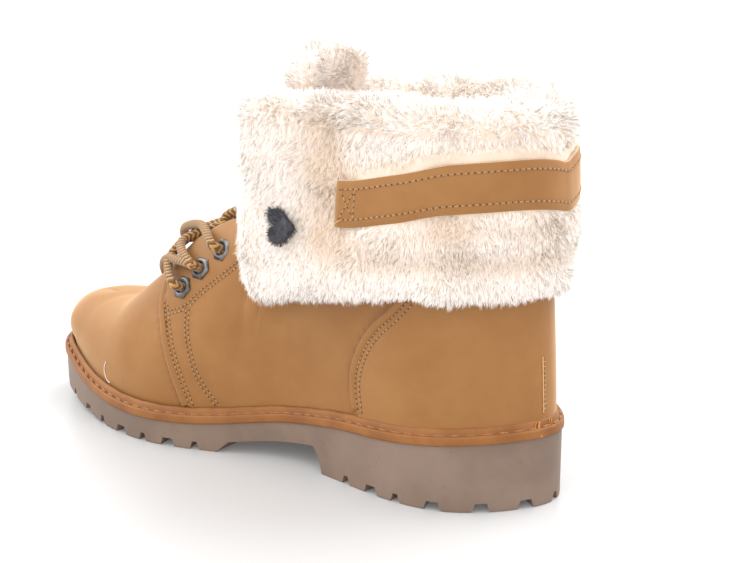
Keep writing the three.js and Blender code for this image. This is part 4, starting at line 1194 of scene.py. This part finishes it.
def cuffSections(angle, shrink):
    # Offsets and heights of the section at each angle, drawn in by the depth of the pile
    share, thick = np.minimum(shareOf(angle), cuffSizes["end"]), cuffSizes["thickness"]
    hem = cuffSizes["hem"] + cuff["hem"](share) * upperSizes["collar"]
    crown = cuffSizes["crown"] + cuff["crown"](share) * upperSizes["collar"]
    full, roll = thick * cuff["puff"](share), thick * cuff["roll"](share)
    away = smooth(share, cuffSizes["strapEnd"], cuffSizes["strapEnd"] + 0.06)
    bed = cuffSizes["strapBed"] * (1 - away) + 0.92 * full * away
    low, high = strapZ(share) - cuffSizes["strapHalf"], strapZ(share) + cuffSizes["strapHalf"]
    one = np.ones_like(share)
    rows = [
        (0.9 * one, hem + 9), (0.5 * roll, hem + 2.5), (0.8 * roll, hem + 5), (0.96 * roll, hem + 11),
        (0.95 * np.maximum(roll, full), hem * 0.3 + low * 0.7), (bed + 1.2, low), (bed - 0.3, strapZ(share)),
        (bed + 1.2, high), (0.9 * full, high * 0.6 + crown * 0.4), (0.9 * full, crown - 8),
        (0.72 * full, crown - 3.2), (0.32 * full, crown - 1.4), (-4.4 * one, crown - 2.5),
        (-8.4 * one, crown - 7), (-9.2 * one, crown * 0.5 + 72), (-8.2 * one, 139 * one),
    ]
    offsets = np.stack([row[0] for row in rows], -1)
    heights = np.stack([row[1] for row in rows], -1)
    buried = 1 - np.exp(-((heights - strapZ(share)[..., None]) / 15) ** 4) * (1 - away)[..., None]
    keep = np.where(offsets > 1, 1 - (1 - shrink) * buried, 1)
    return offsets * keep, heights


def hollows(turn, z):
    # Soft valleys of the fur: behind the front edge, above the hem and round the strap
    back = (float(angleOf(cuffSizes["end"])) - np.abs(turn)) * cuffSizes["radius"]
    frame = np.exp(-((back - 11.5) / 3.8) ** 2) * smooth(z, 96, 112) * (1 - smooth(z, 158, 166))
    hemShare = cuff["hem"](np.minimum(shareOf(turn), cuffSizes["end"]))
    above = z - cuffSizes["hem"] - hemShare * upperSizes["collar"]
    hem = np.exp(-((above - 19) / 5) ** 2) * smooth(back, 8, 20)
    patch = np.exp(-((back - 30) / 3.2) ** 2) * np.exp(-((z - 126) / 11) ** 2)
    return frame, hem, patch


def cuffRelief(turn, z):
    frame, hem, patch = hollows(turn, z)
    back = (float(angleOf(cuffSizes["end"])) - np.abs(turn)) * cuffSizes["radius"]
    puffed = 1.3 * np.exp(-((back - 21) / 5) ** 2) * np.exp(-((z - 128) / 13) ** 2)
    return 1.0 * np.exp(-((back - 4) / 4) ** 2) - 4.2 * frame - 1.8 * hem - 1.8 * patch + puffed


def cuffGrid(shrink, columns, rows):
    limit = float(angleOf(cuffSizes["end"])) + 0.05
    angles = np.linspace(-limit, limit, columns + 1)
    offsets, heights = cuffSections(angles, shrink)
    reach = np.linspace(0, 1, offsets.shape[1])

    def at(u, v):
        i = np.rint(u * columns).astype(int)
        # The front edges turn in to a rounded end
        edge = np.minimum(u, 1 - u) * 2 * limit * cuffSizes["endRadius"]
        turn = np.clip(1 - (1 - np.clip(edge / 4.2, 0, 1)) ** 3, 0, 1) ** (1 / 3)
        offset = np.array([np.interp(b, reach, offsets[k]) for k, b in zip(i, v)])
        height = np.array([np.interp(b, reach, heights[k]) for k, b in zip(i, v)])
        offset = offset + np.where(offset > 5, cuffRelief(angles[i], height), 0)
        offset = np.where(offset > 1, 1 + (offset - 1) * (0.12 + 0.88 * turn), offset)
        angle = leaned(angles[i], height)
        return shaftPoint(angle, offset, height)

    return gridMesh(columns, rows, at)


def lumps(points, size, strength, seed):
    return np.array([noise.noise(Vector(p) / size + Vector((seed, 0, seed))) for p in points]) * strength


def makeCuffBody():
    bm = finished(cuffGrid(cuffSizes["pile"], 150, 60))
    bmesh.ops.smooth_vert(bm, verts=[v for v in bm.verts if not v.is_boundary], factor=0.5, use_axis_x=True,
                          use_axis_y=True, use_axis_z=True)
    bm.normal_update()
    places = np.array([v.co for v in bm.verts])
    push = (lumps(places, 0.014, 1.6, 3.1) + lumps(places, 0.005, 0.6, 7.7)) * mm
    for vert, amount in zip(bm.verts, push):
        if not vert.is_boundary:
            vert.co += vert.normal * float(amount)
    middle = Vector((0.012, 0, 0))
    inward = sum(1 for f in bm.faces if f.normal.xy.dot((f.calc_center_median() - middle).xy) < 0)
    if inward > len(bm.faces) * 0.6:
        bmesh.ops.reverse_faces(bm, faces=bm.faces[:])
    made = objectFrom(bm, "cuff_body", fur)
    return place(made, "fur", "cuff")


def rootsOn(mesh, count, keep):
    # Even random places on a mesh, with the normals there
    mesh.calc_loop_triangles()
    corners = np.array([v.co for v in mesh.vertices])
    tris = np.array([t.vertices for t in mesh.loop_triangles])
    a, b, c = corners[tris[:, 0]], corners[tris[:, 1]], corners[tris[:, 2]]
    cross = np.cross(b - a, c - a)
    weight = np.linalg.norm(cross, axis=1) * keep((a + b + c) / 3)
    pick = rng.choice(len(tris), size=count, p=weight / weight.sum())
    s, t = np.sqrt(rng.random(count)), rng.random(count)
    places = a[pick] * (1 - s)[:, None] + b[pick] * (s * (1 - t))[:, None] + c[pick] * (s * t)[:, None]
    smoothNormals = np.array([v.normal for v in mesh.vertices])
    n = smoothNormals[tris[pick]]
    normals = n[:, 0] * (1 - s)[:, None] + n[:, 1] * (s * (1 - t))[:, None] + n[:, 2] * (s * t)[:, None]
    return places, unit(normals)


def pileOn(name, base, count, pieces, length, width, clump, lean, keep, material, slot, valleyShadeAndMottle=None):
    # Wool in small clumps: each hair is a narrow bent ribbon, drawn to the tip of its clump
    roots, normals = rootsOn(base.data, count, keep)
    middles = max(8, count // clump)
    tree = kdtree.KDTree(middles)
    for k in range(middles):
        tree.insert(Vector(roots[k]), k)
    tree.balance()
    owner = np.array([tree.find(Vector(root))[1] for root in roots])
    swirl = np.stack([lumps(roots[:middles], 0.016, 1, seed) for seed in (1.3, 5.9, 9.4)], -1)
    stray = rng.normal(size=(middles, 3)) * 0.15
    aim = unit(normals[:middles] * 0.42 + lean(roots[:middles], normals[:middles]) + swirl * 0.5 + stray)
    reach = length * mm * (0.72 + 0.5 * rng.random(middles))
    # No hair points into the skin
    into = np.minimum(np.sum(aim * normals[:middles], 1) - 0.3, 0)
    aim = unit(aim - normals[:middles] * into[:, None])
    tips = roots[:middles] + aim * reach[:, None]
    own = unit(aim[owner] + rng.normal(size=(count, 3)) * 0.16)
    longer = reach[owner] * (0.8 + 0.3 * rng.random(count))
    free = roots + own * longer[:, None]
    pull = 0.3 + 0.3 * rng.random(count)
    ends = free + (tips[owner] - free) * pull[:, None]
    bend = np.cross(ends - roots, normals) * rng.normal(size=(count, 1)) * 0.16
    bulge = normals * (longer * 0.16)[:, None]
    middle = roots * 0.5 + ends * 0.5 + bend + bulge
    across = unit(np.cross(ends - roots, normals) + rng.normal(size=(count, 3)) * 0.0016)
    half = width * mm / 2 * (0.7 + 0.6 * rng.random(count))[:, None]
    low = roots - normals * 0.0012
    points = np.stack([low - across * half, low + across * half, middle + across * half * 0.85,
                       middle - across * half * 0.85, ends], 1)
    # Colour along each hair, stored as 'tip': the wool's beige roots and painted shade in the gaps between
    # hairs, paler to the tips
    shade = np.tile([0.7, 0.7, 0.9, 0.9, 1.0], (count, 1)) * (0.85 + 0.2 * rng.random((middles, 1)))[owner]
    # Painted shade of the fur's valleys and round the strap darkens the hairs there
    if valleyShadeAndMottle:
        shade = shade * valleyShadeAndMottle(roots)[:, None]
    facing = unit(np.cross(across, ends - low))
    facing = unit(facing * 0.3 + normals)
    size = count // pieces
    for k in range(pieces):
        part = points[k * size:(k + 1) * size]
        first = np.arange(len(part))[:, None] * 5
        mesh = bpy.data.meshes.new(f"{name}_{k + 1}")
        mesh.from_pydata(part.reshape(-1, 3).tolist(), [],
                         (first + [0, 1, 2, 3]).tolist() + (first + [3, 2, 4]).tolist())
        mesh.attributes.new("tip", "FLOAT", "POINT").data.foreach_set("value",
                                                                      shade[k * size:(k + 1) * size].ravel())
        mesh.shade_smooth()
        mesh.normals_split_custom_set_from_vertices(np.repeat(facing[k * size:(k + 1) * size], 5,
                                                              axis=0).tolist())
        mesh.materials.append(material)
        made = bpy.data.objects.new(mesh.name, mesh)
        scene.collection.objects.link(made)
        place(made, slot)


def boxOf(name, grow):
    low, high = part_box(name)
    return np.array(low) - grow * mm, np.array(high) + grow * mm


def makeCuffPile(body):
    turns = np.linspace(-float(angleOf(cuffSizes["end"])), float(angleOf(cuffSizes["end"])), 400)
    ring = shaftPoint(turns, np.full(400, 4.0), np.full(400, 127.0))[:, :2]
    outward = formNormal(turns, np.full(400, 0.7))[:, :2]
    low, high = boxOf("heart_patch", 0)
    heart = (low + high) / 2

    def keep(places):
        # None under the strap or the heart
        fit = places / mm + np.array([heelRestAt, 0, 0])
        near = np.argmin(np.linalg.norm(fit[:, None, :2] - ring[None], axis=2), 1)
        outer = np.sum((fit[:, :2] - ring[near]) * outward[near], 1) > 0
        turn = turns[near]
        over = fit[:, 2] - strapZ(shareOf(turn))
        strapped = (over < 15) & (over > -10) & (np.abs(turn) < angleOf(cuffSizes["strapEnd"]))
        hearted = np.linalg.norm(places - heart, axis=1) < 0.0068
        return np.where((strapped & outer) | hearted, 0.0, 1.0)

    def lean(places, normals):
        z = places[:, 2] / mm
        down = np.where(z < 158, -0.6, -0.1)
        down = np.where(z < 96, -0.9, down)
        return np.stack([np.zeros(len(z)), np.zeros(len(z)), down], -1)

    # Painted shade in the fur: hairs darkened toward the root colour in the valleys behind the front edge,
    # above the hem and beside the strap's end, with a little random mottling
    def valleyShadeAndMottle(places):
        fit = places / mm + np.array([heelRestAt, 0, 0])
        near = np.concatenate([np.argmin(np.linalg.norm(part[:, None, :2] - ring[None], axis=2), 1)
                               for part in np.array_split(fit, 20)])
        frame, hem, patch = hollows(turns[near], fit[:, 2])
        over = fit[:, 2] - strapZ(shareOf(turns[near]))
        # Painted shadow in the fur above and below the strap
        strap = np.exp(-((over - 14) / 4) ** 2) + 0.7 * np.exp(-((over + 15) / 5) ** 2)
        strap = strap * (np.abs(turns[near]) < float(angleOf(cuffSizes["strapEnd"])) + 0.1)
        soft = lumps(places, 0.02, 0.5, 4.4)
        return np.clip(1.05 - 1.0 * np.clip(frame + 0.7 * hem + patch + 0.7 * strap, 0,
                                            1.1) - 0.12 * np.abs(soft), 0, 1)

    pileOn("cuff_pile", body, cuffSizes["hairs"], cuffSizes["pieces"], cuffSizes["length"],
           cuffSizes["width"], cuffSizes["clump"], lean, keep, fur, "fur", valleyShadeAndMottle)


cuffBody = makeCuffBody()
makeCuffPile(cuffBody)
print("cuff ready")

# Tongue: a padded leather tongue whose free top is fur

tongueSizes = {"furFrom": 112, "width": 50, "thickness": 4.5, "sink": 9, "clear": 4.0, "curve": 6,
               "height": 183,
               "hairs": 29000}
tongueTable = [(0.825, 0.3, 0), (0.81, 0.55, 0.1), (0.77, 0.8, 0.45), (0.7, 1, 1), (0.65, 1, 1),
               (0.61, 1, 0.8), (0.575, 0.92, 0.5), (0.545, 0.8, 0.3)]
tongueTopTable = [(0.462, 0.86, 0.76, 2), (0.456, 0.93, 0.8, 2.6), (0.452, 0.965, 0.78, 2.6),
                  (0.446, 0.988, 0.6, 1.9), (0.438, 1, 0.3, 0.8)]


def underPoint(share, y, offset):
    share, y = np.broadcast_arrays(share, y)
    angle = np.where(y < 0, -1, 1) * angleOf(share)
    foot = insetOutline(angle, np.full(angle.shape, footInset))
    bow = top["bow"](share)
    part = np.minimum(1, np.abs(y / foot[..., 1]))
    rise = np.sin(np.arccos(part ** (1 / bow))) ** bow
    return skinPoint(angle, rise, -np.asarray(offset))


def tongueSheet(inner):
    # Rows of points along one face of the tongue, from its front to its free top
    sides = np.linspace(-1, 1, 25)
    rows = []
    for at, half, sink in tongueTable:
        y = sides * half * tongueSizes["width"] / 2
        y = np.where(np.abs(y) < 0.01, 0.01, y)
        depth = tongueSizes["clear"] + sink * tongueSizes["sink"] * (1 - sides ** 2)
        depth = depth + inner * tongueSizes["thickness"]
        rows.append(underPoint(at, y, depth))
    for front, height, half, thick in tongueTopTable:
        back = inner * thick * tongueSizes["thickness"]
        rows.append(np.stack([front * sole["length"] - back - tongueSizes["curve"] * sides ** 2,
                              sides * half * tongueSizes["width"] / 2,
                              np.full(len(sides), height * tongueSizes["height"])], -1))
    rows = np.stack(rows)
    fine = np.stack([smoothLine(rows[:, k], 100) for k in range(rows.shape[1])], 1)
    return np.stack([resampled(fine[:, k], 60) for k in range(fine.shape[1])], 1)


def makeTongue():
    outer, inner = tongueSheet(0), tongueSheet(1)
    loop = np.concatenate([outer, inner[:, ::-1], outer[:, :1]], 1)
    rows, around = loop.shape[0] - 1, loop.shape[1] - 1

    def at(u, v):
        return loop[np.rint(v * rows).astype(int), np.rint(u * around).astype(int)]

    bm = gridMesh(around, rows, at)
    finished(bm, fill=True)
    made = objectFrom(bm, "tongue_pad", nubuck)
    made.data.materials.append(fur)
    for face in made.data.polygons:
        under = face.normal.z < -0.2 and face.normal.x < 0.3
        face.material_index = 1 if face.center.z > tongueSizes["furFrom"] * mm or under else 0
    place(made, "fur", "tongue")

    def keep(places):
        return np.where(places[:, 2] > 0.114, 1.0, 0.0)

    def lean(places, normals):
        return np.tile([0.05, 0, 0.3], (len(places), 1))

    pileOn("tongue_pile", made, tongueSizes["hairs"], 1, 4.4, 0.25, 7, lean, keep, fur, "fur")


makeTongue()
print("tongue ready")

# Strap over the fur, round the back of the cuff

strapSizes = {"face": 13.8, "row": 6.3, "endRow": 0.012, "crossRow": 0.062, "pitch": 2.6, "columns": 160}


cutEdge = makeThreadMaterial("strap_cut_edge", srgb(214, 190, 158), srgb(180, 148, 108))


def makeStrap():
    limit = float(angleOf(cuffSizes["strapEnd"]))
    outline = [(11.3, -9.2), (11.3, 9.2), (11.7, 9.85), (12.4, 10), (13.2, 9.8), (13.65, 9.2), (13.8, 4),
               (13.85, 0), (13.8, -4), (13.65, -9.2), (13.2, -9.8), (12.4, -10), (11.7, -9.85), (11.3, -9.2)]
    section = np.array(outline, float)
    columns = strapSizes["columns"]

    def at(u, v):
        angle = -limit + 2 * limit * u
        k = np.rint(v * (len(section) - 1)).astype(int)
        return shaftPoint(angle, section[k, 0], strapZ(shareOf(angle)) + section[k, 1])

    bm = gridMesh(columns, len(section) - 1, at)
    finished(bm, fill=True)
    made = objectFrom(bm, "strap_leather", strapLeather)
    made.data.materials.append(cutEdge)
    for face in made.data.polygons:
        if abs(face.normal.z) > 0.75:
            face.material_index = 1
    place(made, "strap_leather", "strap")
    spots, alongs, normals = [], [], []

    pits = ([], [], [])

    def row(turn, dz):
        points = shaftPoint(turn, np.full(turn.shape, strapSizes["face"]), strapZ(shareOf(turn)) + dz)
        out = shaftPoint(turn, np.full(turn.shape, strapSizes["face"] + 1),
                         strapZ(shareOf(turn)) + dz) - points
        for lists, start in (((spots, alongs, normals), 0), (pits, strapSizes["pitch"] / 2)):
            for kept, values in zip(lists, spacedAlong(points, out, strapSizes["pitch"], start)):
                kept.append(values)

    rowAt = strapSizes["row"]
    for dz in (-rowAt, rowAt):
        row(np.linspace(-limit + 0.02, limit - 0.02, 300), dz)
    for side in (1, -1):
        end, line = side * (limit - strapSizes["endRow"]), side * (limit - strapSizes["crossRow"])
        row(np.linspace(line, line, 40), np.linspace(-rowAt, rowAt, 40))
        for low in (-rowAt, rowAt):
            row(np.linspace(line, end, 40), np.linspace(-low, low, 40))
    # Painted shade in the strap's stitch holes
    dark = joinedCopies("strap_hole_shade", beadShape(0.9, 0.8, 0.5, 6, 4), np.concatenate(pits[0]),
                        np.concatenate(pits[1]), np.concatenate(pits[2]), holeShade)
    place(dark, "strap_leather")
    rows = joinedCopies("strap_stitches", beadShape(2.0, 0.8, 0.6), np.concatenate(spots),
                        np.concatenate(alongs), np.concatenate(normals), thread)
    place(rows, "strap_leather")


makeStrap()
print("strap ready")

# Heart: a small felt patch sunk in the fur


def makeHeart():
    half = 7.5
    curves = [((0, -1), (0.5, -0.5), (1.05, -0.1), (1, 0.4)), ((1, 0.4), (0.95, 1.1), (0.2, 1.15), (0, 0.5)),
              ((0, 0.5), (-0.2, 1.15), (-0.95, 1.1), (-1, 0.4)),
              ((-1, 0.4), (-1.05, -0.1), (-0.5, -0.5), (0, -1))]
    outline = []
    for a, b, c, d in curves:
        a, b, c, d = map(np.array, (a, b, c, d))
        for t in np.linspace(0, 1, 14, endpoint=False):
            s = 1 - t
            outline.append(a * s ** 3 + 3 * b * t * s ** 2 + 3 * c * t ** 2 * s + d * t ** 3)
    angle = np.array([float(angleOf(0.385))])
    out = formNormal(angle, np.array([0.6]))[0]
    out[2] = 0
    out = unit(out)
    tip = np.array([out[1], -out[0], 0])
    centre = shaftPoint(angle, np.array([15.3]), np.array([114.0]))[0]
    across = np.cross(tip, out)
    bm = bmesh.new()
    verts = [bm.verts.new(Vector(inFrame(centre + (across * x + tip * y) * half))) for x, y in outline]
    face = bm.faces.new(verts)
    body = bmesh.ops.extrude_face_region(bm, geom=[face])
    for made in body["geom"]:
        if isinstance(made, bmesh.types.BMVert):
            made.co += Vector(out) * 1.8 * mm
    bmesh.ops.recalc_face_normals(bm, faces=bm.faces[:])
    rim = [e for e in bm.edges
           if all((v.co - Vector(inFrame(centre))).dot(Vector(out)) > 0.0015 for v in e.verts)]
    bmesh.ops.bevel(bm, geom=rim, offset=0.0006, segments=3, affect="EDGES", profile=0.5, material=-1)
    bmesh.ops.triangulate(bm, faces=[f for f in bm.faces if len(f.verts) > 4])
    patch = place(objectFrom(bm, "heart_felt", felt, False), "patch_felt", "heart_patch")
    middle = np.array(inFrame(centre))

    def keep(places):
        return np.where(np.linalg.norm(places - middle, axis=1) > 0.0035, 1.0, 0.1)

    def lean(places, normals):
        return (places - middle) / 0.004 + np.array([0.5, 0, -0.3])

    pileOn("heart_nap", patch, 1500, 1, 2.0, 0.15, 3, lean, keep, felt, "patch_felt")


makeHeart()
print("heart ready")

# Eyelets: a six-sided rim with a soft edge and a round bore


def makeEyelet(name):
    seat, axis = seatOf(name)
    profile = [(2.7, -3.2), (2.7, 0.6), (2.95, 1.25), (3.6, 1.45), (4.4, 1.3), (4.9, 0.9), (5.25, 0.35),
               (5.3, 0.02), (3.8, -0.02), (3.8, -3.2), (2.7, -3.2)]
    upright = Vector(axis).to_track_quat("Z", "Y").to_matrix()
    sides = 36

    def at(u, v):
        k, turn = np.rint(v * (len(profile) - 1)).astype(int), 2 * math.pi * u
        radius, rise = np.array(profile)[k].T
        hexagon = math.cos(math.pi / 6) / np.cos(np.mod(turn, math.pi / 3) - math.pi / 6)
        radius = np.where(radius > 4, radius * (1 + (hexagon * 1.1 - 1) * np.clip((radius - 4) / 1.1, 0,
                1)), radius)
        local = np.stack([radius * np.cos(turn), radius * np.sin(turn), rise], -1)
        return seat + local @ np.array(upright).T

    bm = finished(gridMesh(sides, len(profile) - 1, at))
    place(objectFrom(bm, f"eyelet_{name}_metal", eyeletMetal), "eyelet_metal", f"eyelet_{name}")


for name in eyelets:
    makeEyelet(name)
print("eyelets ready")

# Small things: the slit seam at the heel, the welt's join and a wisp of glue at the toe


def threadLine(points, radius, sides=6):
    return tubeMesh(smoothLine(points, 0.6), np.full(len(smoothLine(points, 0.6)), radius), sides, 1)


def joined(parts, name, material):
    whole = bmesh.new()
    for part in parts:
        pour(part, whole)
    return objectFrom(finished(whole, 0.000005, True), name, material)


paleThread = makeThreadMaterial("pale_thread", srgb(222, 184, 130), srgb(190, 146, 92))


def makeSmallThings():
    # The slit: a line of painted shade with ragged light threads across it, on the inner side of the heel
    heights = np.linspace(40, 64, 13)
    line = np.stack([np.interp(heights, [40, 52, 64], [5.4, 5.9, 6.5]), heights], 1)
    near = [upperLeather.closest_point_on_mesh(Vector(inFrame([x, 4.9, z])))[1:3] for x, z in line]
    track = np.array([spot for spot, out in near]) / mm + np.array([heelRestAt, 0, 0])
    normal = np.array([out for spot, out in near])
    slit = [threadLine(track + normal * 0.05, 0.3)]
    place(joined(slit, "heel_slit_shade", holeShade), "nubuck")
    threads = []
    for k in range(1, 12):
        across = unit(np.cross(normal[k], [0, 0, 1.0]))
        tilt = dice.uniform(-0.3, 0.3)
        half = dice.uniform(0.25, 0.6)
        middle = track[k] + normal[k] * 0.45
        threads.append(threadLine([middle - across * half + np.array([0, 0, tilt]), middle + normal[k] * 0.15,
                                   middle + across * half * 0.8 - np.array([0, 0, tilt])], 0.13))
    threads.append(threadLine(track + normal * 0.16 + unit(np.cross(normal, [0, 0, 1.0])) * 0.5, 0.3))
    # A thread's end hangs from the strap's corner
    end = float(angleOf(cuffSizes["strapEnd"]))
    hang = np.array([(end - 0.02, 14, -6.4), (end + 0.012, 15.4, -9.5), (end + 0.03, 18, -13),
                     (end + 0.05, 19.2, -16.5)])
    threads.append(threadLine(shaftPoint(hang[:, 0], hang[:, 1], strapZ(shareOf(hang[:, 0])) + hang[:, 2]),
                              0.17))
    place(joined(threads, "loose_threads", paleThread), "nubuck")
    # The welt's two ends meet here, with a few loose fibres
    fibres = []
    for angle, size in ((0.2, 0.24), (0.193, 0.2), (0.225, 0.12), (0.06, 0.14), (0.085, 0.12)):
        turn = np.full(3, angle) + np.array([0, 0.012, -0.008])
        fibres.append(threadLine(weltPoint(turn, np.array([-0.03, 0.2, 0.5]),
                                           np.array([0.8 if size > 0.15 else 3.6, 4.4, 6.6])), size))
    place(joined(fibres, "welt_join", makeThreadMaterial("join_thread", srgb(204, 140, 66),
                                                         srgb(170, 108, 44))),
          "welt_strip")
    glue = makeThreadMaterial("glue", srgb(250, 248, 244), srgb(232, 228, 220))
    wisp, normal = trackOn(1, np.array([(224.7, 30.8), (226.2, 28), (226.4, 25), (225, 22), (222, 20.6)]),
                           0.25)
    place(joined([threadLine(wisp, 0.17)], "glue_wisp", glue), "nubuck")


makeSmallThings()
print("small things ready")

# The frame's own footbed stays, with its finish

insole = frame["nodes"]["insole"]
insole = insole if hasattr(insole, "data") else bpy.data.objects["insole"]
insole.data.materials.clear()
insole.data.materials.append(footbed)

# Floor, light and view transform


stage = {"floor": 14.0, "grey": 0.52, "rough": 0.35, "glow": 0.08, "sky": 1.42}


def makeStage():
    data = bmesh.new()
    bmesh.ops.create_grid(data, x_segments=1, y_segments=1, size=stage["floor"])
    mesh = bpy.data.meshes.new("floor")
    data.to_mesh(mesh)
    data.free()
    floor = bpy.data.objects.new("floor", mesh)
    scene.collection.objects.link(floor)
    material = bpy.data.materials.new("floor")
    material.use_nodes = True
    shader = material.node_tree.nodes["Principled BSDF"]
    shader.inputs["Base Color"].default_value = (stage["grey"], stage["grey"], stage["grey"], 1)
    shader.inputs["Roughness"].default_value = stage["rough"]
    shader.inputs["Emission Color"].default_value = (1, 1, 1, 1)
    shader.inputs["Emission Strength"].default_value = stage["glow"]
    mesh.materials.append(material)
    world = bpy.data.worlds.new("studio")
    world.use_nodes = True
    world.node_tree.nodes["Background"].inputs["Color"].default_value = (1, 1, 1, 1)
    world.node_tree.nodes["Background"].inputs["Strength"].default_value = stage["sky"]
    scene.world = world


# from where, strength, softness in degrees
lights = [((-0.3, -0.6, 1), 2.0, 40), ((-0.2, 1, 0.7), 0.6, 70), ((1, 0.3, 0.9), 1.25, 50)]


def makeLights():
    for k, (source, power, softness) in enumerate(lights):
        data = bpy.data.lights.new(f"soft_light_{k + 1}", "SUN")
        data.energy, data.angle = power, math.radians(softness)
        made = bpy.data.objects.new(data.name, data)
        made.location = source
        made.rotation_euler = (-Vector(source)).to_track_quat("-Z", "Y").to_euler()
        scene.collection.objects.link(made)


makeStage()
makeLights()
scene.view_settings.view_transform = "Standard"
